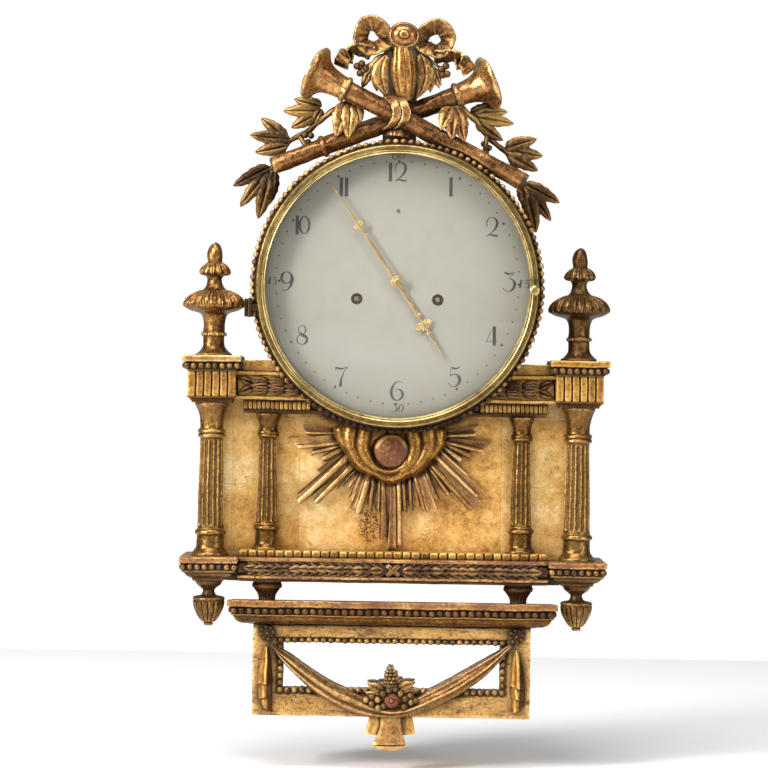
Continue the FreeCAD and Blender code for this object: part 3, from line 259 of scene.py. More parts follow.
def leaf(G, b, t, w, n=FRONT, arch=1.5, thick=2.2, rib=0.9, curl=0.0, bend=0.0, tone=None, nu=13, nv=11, pw=0.75, vein=0.25, base=0.12, tip=0.85):
    b, t = np.asarray(b, float), np.asarray(t, float)
    L = np.linalg.norm(t - b)
    d = (t - b) / L
    side = unit(np.cross(d, n))
    nn = np.cross(side, d)
    u = (np.linspace(0, 1, nu) ** 0.9)[:, None]
    v = np.linspace(-1, 1, nv)[None]
    s = np.sin(pi * u ** pw) ** tip + base * (1 - u) ** 2
    core = b + d * 1.0 * (L * u)[..., None] + side * (bend * u * (1 - u) * 4)[..., None] + nn * (arch * sin(pi * u) + curl * u * u)[..., None]
    wav = 1 + 0.06 * sin(9 * u * pi + 2 * v)
    body = core + side * (w / 2 * s * v * wav)[..., None]
    hump = np.maximum(1 - np.abs(v) ** 2.2, 0) ** 0.8
    top = thick * s ** 0.5 * hump * (0.65 + 0.35 * np.abs(v) ** 0.8) - rib * np.exp(-(v / 0.13) ** 2) * s - vein * hump * s * (0.5 + 0.5 * sin((u * 9 - np.abs(v) * 2.4) * 2 * pi / 1.6))
    low = -0.45 * thick * s ** 0.5 * hump
    tone = 0.5 + rng.uniform(-.28, .28) if tone is None else tone
    A = body + nn * top[..., None]
    B = body + nn * low[..., None]
    loop = np.concatenate([A, B[:, ::-1][:, 1:-1]], axis=1)
    G.grid(loop, cv=True, tone=tone, cap0=True)


def frames(P):
    T = np.gradient(P, axis=0)
    T /= np.linalg.norm(T, axis=1)[:, None] + 1e-12
    n = unit(np.cross(T[0], FRONT)) if abs(np.dot(T[0], FRONT)) < 0.95 else unit(np.cross(T[0], UP))
    N = [n]
    for i in range(1, len(P)):
        m = N[-1] - T[i] * np.dot(N[-1], T[i])
        N.append(unit(m))
    N = np.array(N)
    return T, N, np.cross(T, N)


def tube(G, P, rad, n=12, tone=0.5, disp=None, fix=None):
    P = np.asarray(P, float)
    T, N, B = frames(P)
    rad = np.broadcast_to(np.asarray(rad, float), (len(P),))
    th = np.linspace(0, 2 * pi, n, endpoint=False)[None]
    R = rad[:, None] + 0 * th
    if disp is not None:
        R = R + disp(np.linspace(0, 1, len(P))[:, None], th)
    V = P[:, None] + (R * cos(th))[..., None] * N[:, None] + (R * sin(th))[..., None] * B[:, None]
    if fix is not None:
        V = fix(V)
    G.grid(V, cv=True, tone=tone, cap0=True, cap1=True)


def strap(G, P, hw, th, wdir, n=20, tone=0.5, pleat=None):
    """A flat band along P: half width hw across wdir, thickness th."""
    P = np.asarray(P, float)
    T = np.gradient(P, axis=0)
    T /= np.linalg.norm(T, axis=1)[:, None] + 1e-12
    W = np.broadcast_to(np.asarray(wdir, float), P.shape)
    W = W - T * (W * T).sum(1)[:, None]
    W /= np.linalg.norm(W, axis=1)[:, None] + 1e-12
    N = np.cross(T, W)
    hw = np.broadcast_to(np.asarray(hw, float), (len(P),))[:, None]
    th = np.broadcast_to(np.asarray(th, float), (len(P),))[:, None]
    a = np.linspace(0, 2 * pi, n, endpoint=False)[None]
    cx = np.sign(cos(a)) * np.abs(cos(a)) ** 0.7
    cz = np.sign(sin(a)) * np.abs(sin(a)) ** 0.45
    lift = 0.0 if pleat is None else pleat(np.linspace(0, 1, len(P))[:, None], cx)
    V = P[:, None] + (hw * cx)[..., None] * W[:, None] + (th / 2 * cz + lift)[..., None] * N[:, None]
    G.grid(V, cv=True, tone=tone, cap0=True, cap1=True)


def plate(G, top, bot, d_back, depth, nv=15, tone=0.5):
    """A carved relief strip: two edge lines (k, x z) and a front depth as a function (u, v)."""
    top, bot = np.asarray(top, float), np.asarray(bot, float)
    m = len(top)
    v = np.linspace(0, 1, nv)[None]
    u = np.linspace(0, 1, m)[:, None]
    X = top[:, None, 0] * (1 - v) + bot[:, None, 0] * v
    Z = top[:, None, 1] * (1 - v) + bot[:, None, 1] * v
    F = depth(u, v) + 0 * X
    bk = np.broadcast_to(np.asarray(d_back(u, v) if callable(d_back) else d_back, float), F.shape)
    A = np.stack([X, -F, Z], 2)
    B = np.stack([X, -bk, Z], 2)
    loop = np.concatenate([A, B[:, ::-1]], axis=1)
    G.grid(loop, cv=True, tone=tone, cap0=True, cap1=True)


def sstep(a, b, x):
    t = np.clip((x - a) / (b - a), 0, 1)
    return t * t * (3 - 2 * t)


# ---------------------------------------------------------------- materials
class NT:
    def __init__(self, name):
        self.mat = bpy.data.materials.new(name)
        self.mat.use_nodes = True
        self.t = self.mat.node_tree
        self.t.nodes.clear()
        self.out = self.t.nodes.new('ShaderNodeOutputMaterial')
        self.obj = self.t.nodes.new('ShaderNodeTexCoord').outputs['Object']
        self._xyz = None

    def put(self, sock, val):
        if hasattr(val, 'is_output'):
            self.t.links.new(val, sock)
        elif isinstance(val, (tuple, list)) and len(val) == 3 and sock.type == 'RGBA':
            sock.default_value = (*val, 1.0)
        else:
            sock.default_value = val

    def xyz(self):
        if self._xyz is None:
            n = self.t.nodes.new('ShaderNodeSeparateXYZ')
            self.t.links.new(self.obj, n.inputs[0])
            self._xyz = n.outputs
        return self._xyz

    def m(self, op, a, b=None, c=None, clamp=False):
        n = self.t.nodes.new('ShaderNodeMath')
        n.operation, n.use_clamp = op, clamp
        for i, v in enumerate((a, b, c)):
            if v is not None:
                self.put(n.inputs[i], v)
        return n.outputs[0]

    def noise(self, scale, detail=4.0, rough=0.55, dist=0.0, vec=None, stretch=None):
        n = self.t.nodes.new('ShaderNodeTexNoise')
        v = self.obj if vec is None else vec
        if stretch is not None:
            k = self.t.nodes.new('ShaderNodeVectorMath')
            k.operation = 'MULTIPLY'
            self.t.links.new(v, k.inputs[0])
            k.inputs[1].default_value = stretch
            v = k.outputs[0]
        self.t.links.new(v, n.inputs['Vector'])
        n.inputs['Scale'].default_value = scale
        n.inputs['Detail'].default_value = detail
        n.inputs['Roughness'].default_value = rough
        n.inputs['Distortion'].default_value = dist
        return n.outputs['Fac']

    def voro(self, scale, feature='F1', vec=None):
        n = self.t.nodes.new('ShaderNodeTexVoronoi')
        n.feature = feature
        self.t.links.new(self.obj if vec is None else vec, n.inputs['Vector'])
        n.inputs['Scale'].default_value = scale
        return n.outputs['Distance']

    def ramp(self, fac, stops, kind='LINEAR'):
        n = self.t.nodes.new('ShaderNodeValToRGB')
        n.color_ramp.interpolation = kind
        e = n.color_ramp.elements
        while len(e) < len(stops):
            e.new(0.5)
        for el, (p, c) in zip(e, stops):
            el.position = p
            el.color = (*c, 1.0) if not np.isscalar(c) else (c, c, c, 1.0)
        self.put(n.inputs[0], fac)
        return n.outputs[0]

    def rng(self, x, a, b, lo=0.0, hi=1.0, smooth=True):
        n = self.t.nodes.new('ShaderNodeMapRange')
        n.interpolation_type = 'SMOOTHSTEP' if smooth else 'LINEAR'
        self.put(n.inputs['Value'], x)
        for k, v in (('From Min', a), ('From Max', b), ('To Min', lo), ('To Max', hi)):
            self.put(n.inputs[k], v)
        return n.outputs[0]

    def mix(self, f, a, b):
        n = self.t.nodes.new('ShaderNodeMix')
        n.data_type = 'RGBA'
        self.put(n.inputs[0], f)
        self.put(n.inputs[6], a)
        self.put(n.inputs[7], b)
        return n.outputs[2]

    def attr(self, name):
        n = self.t.nodes.new('ShaderNodeAttribute')
        n.attribute_name = name
        return n.outputs['Fac']

    def bump(self, h, strength, dist):
        n = self.t.nodes.new('ShaderNodeBump')
        n.inputs['Strength'].default_value = strength
        n.inputs['Distance'].default_value = dist
        self.t.links.new(h, n.inputs['Height'])
        return n.outputs[0]

    def done(self, col, rough, metal=0.0, normal=None, spec=None, coat=None):
        b = self.t.nodes.new('ShaderNodeBsdfPrincipled')
        self.put(b.inputs['Base Color'], col)
        self.put(b.inputs['Roughness'], rough)
        self.put(b.inputs['Metallic'], metal)
        if normal is not None:
            self.put(b.inputs['Normal'], normal)
        if spec is not None:
            b.inputs['Specular IOR Level'].default_value = spec
        if coat is not None:
            b.inputs['Coat Weight'].default_value = coat[0]
            b.inputs['Coat Roughness'].default_value = coat[1]
        self.t.links.new(b.outputs[0], self.out.inputs['Surface'])
        return self.mat


def srgb(r, g, b):
    f = lambda c: (c / 255 / 12.92) if c / 255 <= 0.04045 else ((c / 255 + 0.055) / 1.055) ** 2.4
    return (f(r), f(g), f(b))


BOLE = srgb(122, 60, 40)
DIRT_AND_SHADE_COLOUR = srgb(34, 21, 11)


def gilt(name, hi, mid, lo, wear=0.0, hollow_dirt_and_shade=1.0, met=0.8, ro=(0.28, 0.46), attr=True, speck=0.5, bole=BOLE, bump=0.3, cloud=26.0, cav=1.0, streak=None, edge=0.0, pit=680, soft=0.15):
    """Old gold leaf over red clay: patchy leaf, clay on worn edges, lighter gold on convex edges (rubbed leaf and a
    painted highlight), dirt and painted shade in the hollows and where parts meet, dark specks and hairline cracks.
    """
    t = NT(name)
    n1, n2 = t.noise(cloud, 4, 0.6), t.noise(230, 6, 0.68, 0.4)
    n3, n4 = t.noise(pit, 4, 0.65), t.noise(84, 6, 0.7, 0.7, stretch=streak)
    base = t.m('ADD', t.m('MULTIPLY', n1, 0.3), t.m('ADD', t.m('MULTIPLY', n2, 0.4), t.m('MULTIPLY', n3, 0.3)))
    if attr:
        tone, cur, ao = t.attr("tone"), t.attr("cur"), t.attr("ao")
        base = t.m('ADD', base, t.m('MULTIPLY', t.m('SUBTRACT', tone, 0.5), 0.26))
        # convex parts a little lighter: rubbed leaf and a painted highlight on the edges
        base = t.m('ADD', base, t.rng(cur, 0.42, 0.8, -0.05, 0.13))
    gold = t.ramp(base, [(0.5 - soft, lo), (0.5, mid), (0.5 + soft, hi)])
    w = t.m('ADD', t.m('MULTIPLY', t.m('SUBTRACT', n4, 0.5), 2.6), t.m('MULTIPLY', t.m('SUBTRACT', n2, 0.5), 2.0))
    w = t.m('ADD', w, t.m('MULTIPLY', t.m('SUBTRACT', n3, 0.5), 1.1))
    if attr:
        w = t.m('ADD', w, t.m('MULTIPLY', t.m('SUBTRACT', cur, 0.5), 1.1))
    wm = t.rng(t.m('ADD', w, wear - 0.62), 0.0, 0.25)
    clay = t.mix(n3, tuple(c * 0.6 for c in bole), tuple(c * 1.3 for c in bole))
    col = t.mix(t.m('MULTIPLY', wm, 0.88), gold, clay)
    sp = t.rng(t.m('ADD', n3, t.m('MULTIPLY', t.m('SUBTRACT', n2, 0.5), 0.5)), 0.6, 0.69)
    crk = t.m('MULTIPLY', t.rng(t.voro(105.0, 'DISTANCE_TO_EDGE'), 0.008, 0.035, 1.0, 0.0), t.rng(n4, 0.52, 0.62, 0.0, 0.55))
    darkening = t.m('MAXIMUM', t.m('MULTIPLY', sp, speck), crk)
    if attr:
        # occlusion and concavity darken the hollows and the spots where parts meet: dirt there, and painted shade
        g = t.m('MULTIPLY', t.m('POWER', t.m('SUBTRACT', 1.0, ao, clamp=True), 0.85), 1.7 * hollow_dirt_and_shade)
        g = t.m('MAXIMUM', g, t.m('MULTIPLY', t.rng(cur, 0.49, 0.32, 0.0, 0.95), cav))
        g = t.m('MULTIPLY', g, t.rng(n2, 0.25, 0.75, 0.7, 1.25, False), clamp=True)
        darkening = t.m('MAXIMUM', darkening, t.m('MULTIPLY', g, 0.95))
    if attr and edge:
        darkening = t.m('MAXIMUM', darkening, t.m('MULTIPLY', t.rng(t.m('ADD', cur, t.m('MULTIPLY', t.m('SUBTRACT', n2, 0.5), 0.3)), 0.62, 0.78), edge))
    col = t.mix(darkening, col, DIRT_AND_SHADE_COLOUR)
    keep = t.m('MULTIPLY', t.m('SUBTRACT', 1.0, t.m('MULTIPLY', wm, 0.8)), t.m('SUBTRACT', 1.0, t.m('MULTIPLY', darkening, 0.85)))
    metal = t.m('MULTIPLY', keep, met)
    rough = t.m('ADD', t.rng(n2, 0.3, 0.7, ro[0], ro[1], False), t.m('MULTIPLY', t.m('SUBTRACT', 1.0, keep), 0.25), clamp=True)
    h = t.m('ADD', t.m('MULTIPLY', n2, 0.8), t.m('SUBTRACT', t.m('MULTIPLY', n3, 0.4), t.m('MULTIPLY', wm, 0.25)))
    return t.done(col, rough, metal, t.bump(h, bump, 0.0012), spec=0.25)


LEAF = dict(hi=srgb(226, 184, 104), mid=srgb(190, 138, 66), lo=srgb(132, 88, 40))
M_WARM = gilt("old_gold_warm", srgb(228, 184, 112), srgb(132, 91, 46), srgb(50, 31, 16), wear=0.0, hollow_dirt_and_shade=1.15, ro=(0.22, 0.38))
M_TRUMPET = gilt("old_gold_trumpet", srgb(240, 202, 136), srgb(156, 109, 62), srgb(66, 40, 26), wear=0.16, hollow_dirt_and_shade=1.05, ro=(0.16, 0.3))
M_BRIGHT = gilt("gold_leaf_bright", srgb(242, 206, 132), srgb(192, 146, 76), srgb(104, 68, 32), wear=-0.06, hollow_dirt_and_shade=1.1, speck=0.8, ro=(0.24, 0.4))
M_ORANGE = gilt("gold_leaf_amber", srgb(230, 184, 102), srgb(170, 120, 56), srgb(84, 53, 25), wear=0.02, hollow_dirt_and_shade=1.05, speck=0.6, ro=(0.24, 0.4))
M_DARK = gilt("old_gold_dark", srgb(178, 140, 80), srgb(98, 69, 35), srgb(43, 29, 15), wear=-0.02, hollow_dirt_and_shade=1.15, met=0.76, ro=(0.26, 0.42))
M_LAUREL = gilt("gold_laurel_dull", srgb(145, 108, 64), srgb(77, 54, 31), srgb(35, 24, 14), wear=-0.06, hollow_dirt_and_shade=1.25, met=0.72, ro=(0.3, 0.46))
M_RED = gilt("red_clay_worn_gold", srgb(230, 186, 118), srgb(156, 108, 62), srgb(80, 49, 33), wear=0.5, hollow_dirt_and_shade=1.0, met=0.72, ro=(0.26, 0.44), bole=srgb(98, 57, 45), streak=(0.24, 1, 1), edge=0.6, pit=460, speck=0.8)
M_BROWN = gilt("brown_bronze_paint", srgb(130, 88, 42), srgb(74, 47, 21), srgb(34, 21, 9), wear=-0.1, hollow_dirt_and_shade=1.1, met=0.74, ro=(0.32, 0.5))
M_ROSE = gilt("rosette_bronze", srgb(112, 80, 44), srgb(58, 38, 19), srgb(26, 17, 9), wear=0.0, hollow_dirt_and_shade=1.3, met=0.7, ro=(0.28, 0.44))
M_PALE = gilt("gold_leaf_pale", srgb(232, 202, 146), srgb(180, 140, 84), srgb(96, 64, 36), wear=0.16, hollow_dirt_and_shade=1.1, speck=0.9, ro=(0.26, 0.42), edge=0.5, pit=480)
M_BEAD = gilt("bead_bronze", srgb(166, 126, 72), srgb(84, 58, 31), srgb(36, 24, 13), wear=0.06, hollow_dirt_and_shade=1.2, met=0.75, ro=(0.2, 0.34))
M_RAY = gilt("ray_gold", srgb(224, 184, 122), srgb(160, 117, 67), srgb(78, 50, 30), wear=0.14, hollow_dirt_and_shade=1.0, ro=(0.26, 0.4), bole=srgb(112, 70, 52), bump=0.2)
M_RAYRED = gilt("ray_worn_clay", srgb(208, 162, 100), srgb(152, 109, 64), srgb(82, 52, 34), wear=0.24, hollow_dirt_and_shade=1.1, met=0.74, ro=(0.26, 0.42), bole=srgb(112, 70, 50), bump=0.25)
M_COL = gilt("column_gold", srgb(214, 172, 100), srgb(120, 86, 42), srgb(48, 33, 16), wear=0.0, hollow_dirt_and_shade=0.95, cav=0.6, met=0.84, ro=(0.2, 0.34), soft=0.2)
M_COL2 = gilt("inner_column_gold", srgb(190, 144, 74), srgb(100, 69, 30), srgb(40, 26, 11), wear=0.0, hollow_dirt_and_shade=0.95, cav=0.6, met=0.84, ro=(0.2, 0.34), soft=0.2)
M_CORN = gilt("cornice_gold", srgb(186, 136, 66), srgb(102, 67, 30), srgb(36, 22, 10), wear=0.04, hollow_dirt_and_shade=1.1, ro=(0.22, 0.38))
M_SWAG = gilt("swag_gold", srgb(228, 190, 126), srgb(152, 110, 62), srgb(60, 40, 22), wear=0.0, hollow_dirt_and_shade=1.0, ro=(0.22, 0.38))
M_CLOUD = gilt("cloud_gold", srgb(224, 178, 98), srgb(146, 103, 48), srgb(58, 37, 15), wear=0.0, hollow_dirt_and_shade=1.0, speck=0.4, met=0.85, ro=(0.2, 0.34), soft=0.2)
M_BOW = gilt("bow_gold", srgb(218, 174, 104), srgb(118, 81, 42), srgb(46, 29, 15), wear=0.06, hollow_dirt_and_shade=1.15, ro=(0.2, 0.36))
M_POD = gilt("pod_gold", srgb(226, 184, 112), srgb(152, 107, 55), srgb(72, 46, 24), wear=-0.02, hollow_dirt_and_shade=1.15, speck=0.4, ro=(0.2, 0.36))
M_GROUND = gilt("frieze_gold", srgb(238, 200, 122), srgb(188, 140, 72), srgb(110, 72, 34), wear=-0.04, hollow_dirt_and_shade=0.2, cav=0.3, speck=0.7, ro=(0.24, 0.4))
M_TORUS = gilt("torus_bronze", srgb(164, 124, 76), srgb(88, 62, 36), srgb(38, 26, 15), wear=0.08, hollow_dirt_and_shade=1.2, met=0.76, ro=(0.26, 0.44))
M_BROWN_CAD = gilt("brown_bronze_drum", srgb(140, 108, 70), srgb(100, 74, 46), srgb(64, 46, 29), wear=-0.1, met=0.4, ro=(0.42, 0.6), attr=False)
M_HINGE = gilt("dark_bronze_hinge", srgb(74, 56, 33), srgb(48, 35, 20), srgb(27, 19, 11), wear=-0.1, met=0.75, ro=(0.34, 0.5), attr=False)


def panel_leaf():
    """Flat boards laid with squares of gold leaf: ragged joints, a tone for each square, dark specks and cracks,
    painted shade round the sunburst, by the inner columns and under the frieze, and a painted shadow ring round the
    drum.
    """
    t = NT("gold_leaf_squares")
    x, y, z = t.xyz()
    n1, n2, n3 = t.noise(16, 4, 0.6), t.noise(95, 5, 0.62, 0.5), t.noise(430, 3, 0.6)
    c = 0.0785
    def cell(s, off, wob):
        return t.m('DIVIDE', t.m('ADD', s, t.m('ADD', t.m('MULTIPLY', t.m('SUBTRACT', wob, 0.5), 0.003), off)), c)
    cx, cz = cell(x, 0.5031, n2), cell(z, 0.7012, n1)
    n = t.t.nodes.new('ShaderNodeCombineXYZ')
    t.put(n.inputs[0], t.m('FLOOR', cx)); t.put(n.inputs[1], t.m('FLOOR', cz))
    wn = t.t.nodes.new('ShaderNodeTexWhiteNoise')
    t.t.links.new(n.outputs[0], wn.inputs['Vector'])
    tone = wn.outputs['Value']
    def line(s):
        f = t.m('FRACT', s)
        e = t.m('MINIMUM', f, t.m('SUBTRACT', 1.0, f))
        return t.rng(e, 0.002, 0.007, 1.0, 0.0)
    joint = t.m('MULTIPLY', t.m('MAXIMUM', line(cx), line(cz)), t.rng(n2, 0.4, 0.62, 0.0, 0.6, False))
    base = t.m('ADD', t.m('MULTIPLY', n1, 0.46), t.m('ADD', t.m('MULTIPLY', n2, 0.28), t.m('ADD', t.m('MULTIPLY', n3, 0.26), t.m('MULTIPLY', t.m('SUBTRACT', tone, 0.5), 0.09))))
    gold = t.ramp(base, [(0.37, srgb(150, 104, 52)), (0.46, srgb(206, 156, 84)), (0.54, srgb(228, 184, 114)), (0.63, srgb(246, 218, 162))])
    col = t.mix(joint, gold, srgb(112, 74, 36))
    sp = t.rng(t.m('ADD', n3, t.m('MULTIPLY', t.m('SUBTRACT', t.noise(30, 4, 0.6), 0.5), 0.8)), 0.65, 0.75)
    vor = t.rng(t.voro(170.0), 0.05, 0.12, 1.0, 0.0)
    spots = t.m('MULTIPLY', vor, t.rng(t.noise(60, 3), 0.6, 0.72))
    # a crazed patch left of the long middle ray
    dx = t.m('DIVIDE', t.m('SUBTRACT', x, -0.028), 0.013)
    dz = t.m('DIVIDE', t.m('SUBTRACT', z, -0.279), 0.022)
    rr = t.m('ADD', t.m('MULTIPLY', dx, dx), t.m('MULTIPLY', dz, dz))
    patch = t.m('MULTIPLY', t.rng(rr, 0.4, 1.3, 1.0, 0.0), t.rng(t.noise(210, 4, 0.7, 1.2), 0.5, 0.56))
    drum = t.m('SQRT', t.m('ADD', t.m('MULTIPLY', x, x), t.m('MULTIPLY', z, z)))
    ex, ez = t.m('ADD', x, 0.004), t.m('MULTIPLY', t.m('ADD', z, 0.196), 1.12)
    sun = t.m('SQRT', t.m('ADD', t.m('MULTIPLY', ex, ex), t.m('MULTIPLY', ez, ez)))
    # painted shade round the sunburst, beside the inner columns, under the frieze and in a patch left below the
    # sunburst
    painted_shade = t.rng(t.m('ADD', sun, t.m('MULTIPLY', t.m('SUBTRACT', n1, 0.5), 0.05)), 0.066, 0.118, 0.42, 0.0)
    painted_shade = t.m('MAXIMUM', painted_shade, t.rng(t.m('ABSOLUTE', t.m('SUBTRACT', t.m('ABSOLUTE', x), 0.147)), 0.014, 0.024, 0.25, 0.0))
    painted_shade = t.m('MAXIMUM', painted_shade, t.rng(z, -0.168, -0.148, 0.0, 0.5))
    gx, gz = t.m('DIVIDE', t.m('ADD', x, 0.094), 0.062), t.m('DIVIDE', t.m('ADD', z, 0.252), 0.052)
    left_ray_shade = t.m('ADD', t.m('ADD', t.m('MULTIPLY', gx, gx), t.m('MULTIPLY', gz, gz)), t.m('MULTIPLY', t.m('SUBTRACT', n1, 0.5), 1.2))
    painted_shade = t.m('MAXIMUM', painted_shade, t.rng(left_ray_shade, 0.25, 1.15, 0.3, 0.0))
    darkening = t.m('MAXIMUM', t.m('MULTIPLY', t.m('MAXIMUM', sp, spots), 0.6), t.m('MULTIPLY', patch, 0.95))
    # painted shadow ring round the drum; it also joins the darkening mask below
    under = t.rng(t.m('ADD', drum, t.m('MULTIPLY', n1, 0.006)), 0.168, 0.182, 0.94, 0.0)
    darkening = t.m('MAXIMUM', darkening, under)
    col = t.mix(painted_shade, col, srgb(104, 66, 30))
    col = t.mix(darkening, col, srgb(58, 32, 11))
    col = t.mix(under, col, srgb(26, 17, 9))
    metal = t.m('MULTIPLY', t.m('SUBTRACT', 1.0, t.m('MULTIPLY', darkening, 0.25)), 0.78)
    rough = t.m('ADD', t.rng(n2, 0.3, 0.7, 0.36, 0.5, False), t.m('MULTIPLY', darkening, 0.25))
    h = t.m('ADD', t.m('MULTIPLY', n2, 0.6), t.m('SUBTRACT', t.m('MULTIPLY', n1, 0.5), t.m('MULTIPLY', joint, 0.25)))
    return t.done(col, rough, metal, t.bump(h, 0.22, 0.0016), spec=0.2)


def brass(name, hi, lo, ro=(0.26, 0.42), attr=False, dull=0.5, ring=False):
    t = NT(name)
    n1, n2, n3 = t.noise(30, 4), t.noise(170, 5, 0.65, 0.3), t.noise(900, 2)
    f = t.m('ADD', t.m('MULTIPLY', n1, 0.5), t.m('MULTIPLY', n2, 0.5))
    col = t.ramp(f, [(0.36, lo), (0.6, hi)])
    d = t.rng(n2, 0.56, 0.74, 0.0, dull)
    # with attr, occluded spots go dark: tarnish in the hollows and painted shade where parts meet
    if attr:
        d = t.m('MAXIMUM', d, t.m('MULTIPLY', t.m('POWER', t.m('SUBTRACT', 1.0, t.attr("ao"), clamp=True), 1.2), 0.95))
    col = t.mix(d, col, srgb(66, 54, 30))
    rough = t.m('ADD', t.rng(n2, 0.3, 0.7, ro[0], ro[1], False), t.m('MULTIPLY', d, 0.3), clamp=True)
    metal = t.m('SUBTRACT', 0.95, t.m('MULTIPLY', d, 0.5))
    h = t.m('ADD', t.m('MULTIPLY', n3, 0.5), t.m('MULTIPLY', n2, 0.5))
    return t.done(col, rough, metal, t.bump(h, 0.1, 0.0004))


M_BEZEL = brass("bezel_brass", srgb(212, 188, 128), srgb(130, 110, 66), attr=True, ro=(0.24, 0.38))
M_BRASS = brass("movement_brass", srgb(214, 184, 112), srgb(170, 136, 70))
M_HAND = brass("hand_gilt", srgb(206, 182, 128), srgb(166, 138, 84), ro=(0.36, 0.5), dull=0.4)


def steel(name, c, ro=0.32):
    t = NT(name)
    n1, n2 = t.noise(60, 4), t.noise(420, 4, 0.6, 0.0, stretch=(1, 1, 0.15))
    col = t.ramp(t.m('ADD', t.m('MULTIPLY', n1, 0.6), t.m('MULTIPLY', n2, 0.4)), [(0.35, tuple(v * 0.6 for v in c)), (0.62, c)])
    return t.done(col, t.rng(n2, 0.3, 0.7, ro, ro + 0.16, False), 0.92, t.bump(n2, 0.08, 0.0004))


M_STEEL = steel("arbor_steel", (0.40, 0.40, 0.41))


def iron():
    t = NT("black_iron")
    n1, n2 = t.noise(70, 5, 0.65), t.noise(380, 4, 0.6)
    col = t.ramp(t.m('ADD', t.m('MULTIPLY', n1, 0.6), t.m('MULTIPLY', n2, 0.4)), [(0.36, srgb(26, 24, 22)), (0.6, srgb(62, 56, 50)), (0.74, srgb(96, 66, 46))])
    return t.done(col, t.rng(n2, 0.3, 0.7, 0.5, 0.72, False), 0.45, t.bump(t.m('ADD', n1, n2), 0.3, 0.0008))


M_IRON = iron()


def pine():
    t = NT("bare_pine")
    x, y, z = t.xyz()
    g1 = t.noise(1.0, 6, 0.62, 0.5, stretch=(60.0, 40.0, 3.2))
    g2 = t.noise(1.0, 5, 0.6, 0.2, stretch=(420.0, 300.0, 9.0))
    n1 = t.noise(9, 4, 0.6)
    ringw = t.m('FRACT', t.m('MULTIPLY', t.m('ADD', g1, t.m('MULTIPLY', n1, 0.35)), 7.0))
    f = t.m('ADD', t.m('MULTIPLY', ringw, 0.45), t.m('ADD', t.m('MULTIPLY', g2, 0.3), t.m('MULTIPLY', n1, 0.3)))
    col = t.ramp(f, [(0.2, srgb(86, 58, 34)), (0.5, srgb(134, 96, 58)), (0.8, srgb(164, 124, 80))])
    # two joints between the boards, and the dirt of age
    seam = None
    for sx in (-0.068, 0.074):
        e = t.rng(t.m('ABSOLUTE', t.m('SUBTRACT', x, t.m('ADD', sx, t.m('MULTIPLY', t.m('SUBTRACT', n1, 0.5), 0.002)))), 0.0004, 0.0013, 1.0, 0.0)
        seam = e if seam is None else t.m('MAXIMUM', seam, e)
    darkening = t.m('MAXIMUM', t.m('MULTIPLY', seam, 0.9), t.rng(t.noise(22, 5, 0.7), 0.56, 0.76, 0.0, 0.55))
    col = t.mix(darkening, col, srgb(44, 30, 18))
    h = t.m('SUBTRACT', t.m('ADD', t.m('MULTIPLY', g2, 0.6), t.m('MULTIPLY', ringw, 0.3)), seam)
    return t.done(col, t.rng(g2, 0.3, 0.7, 0.62, 0.8, False), 0.0, t.bump(h, 0.3, 0.0012), spec=0.3)


M_PINE = pine()


def dial_paint():
    t = NT("dial_paint")
    x, y, z = t.xyz()
    dz = t.m('SUBTRACT', z, 0.0045)
    r = t.m('SQRT', t.m('ADD', t.m('MULTIPLY', x, x), t.m('MULTIPLY', dz, dz)))
    n1, n2, n3 = t.noise(9, 5, 0.62, 0.4), t.noise(55, 5, 0.6, 0.2), t.noise(620, 3, 0.6)
    f = t.m('ADD', t.m('DIVIDE', r, 0.155), t.m('MULTIPLY', t.m('SUBTRACT', n1, 0.5), 0.3))
    col = t.ramp(f, [(0.1, srgb(166, 163, 151)), (0.62, srgb(160, 157, 146)), (0.93, srgb(149, 146, 133)), (1.0, srgb(135, 131, 117))])
    cl = t.rng(n2, 0.42, 0.72, 0.0, 0.2)
    col = t.mix(cl, col, srgb(141, 136, 121))
    vs = t.m('MULTIPLY', t.rng(t.voro(150.0), 0.04, 0.10, 1.0, 0.0), t.rng(t.noise(38, 3), 0.56, 0.66))
    chips = t.m('MULTIPLY', t.rng(n3, 0.66, 0.74), t.rng(n1, 0.5, 0.66, 0.1, 0.6))
    low = t.rng(z, -0.09, -0.03, 1.0, 0.25)
    darkening = t.m('MULTIPLY', t.m('MAXIMUM', vs, chips), t.m('MULTIPLY', low, 0.6))
    col = t.mix(darkening, col, srgb(120, 110, 92))
    h = t.m('ADD', t.m('MULTIPLY', n2, 0.5), t.m('MULTIPLY', n3, 0.2))
    return t.done(col, t.rng(n2, 0.3, 0.7, 0.42, 0.58, False), 0.0, t.bump(h, 0.12, 0.0005), spec=0.35)


M_DIAL = dial_paint()


def ink():
    t = NT("numeral_paint")
    n1, n2 = t.noise(120, 4, 0.65), t.noise(900, 3, 0.6)
    f = t.m('ADD', t.m('MULTIPLY', n1, 0.6), t.m('MULTIPLY', n2, 0.4))
    col = t.ramp(f, [(0.34, srgb(46, 46, 46)), (0.56, srgb(70, 70, 68)), (0.72, srgb(112, 110, 103))])
    return t.done(col, t.rng(n2, 0.3, 0.7, 0.45, 0.65, False), 0.0, t.bump(n2, 0.1, 0.0003), spec=0.3)


M_INK = ink()


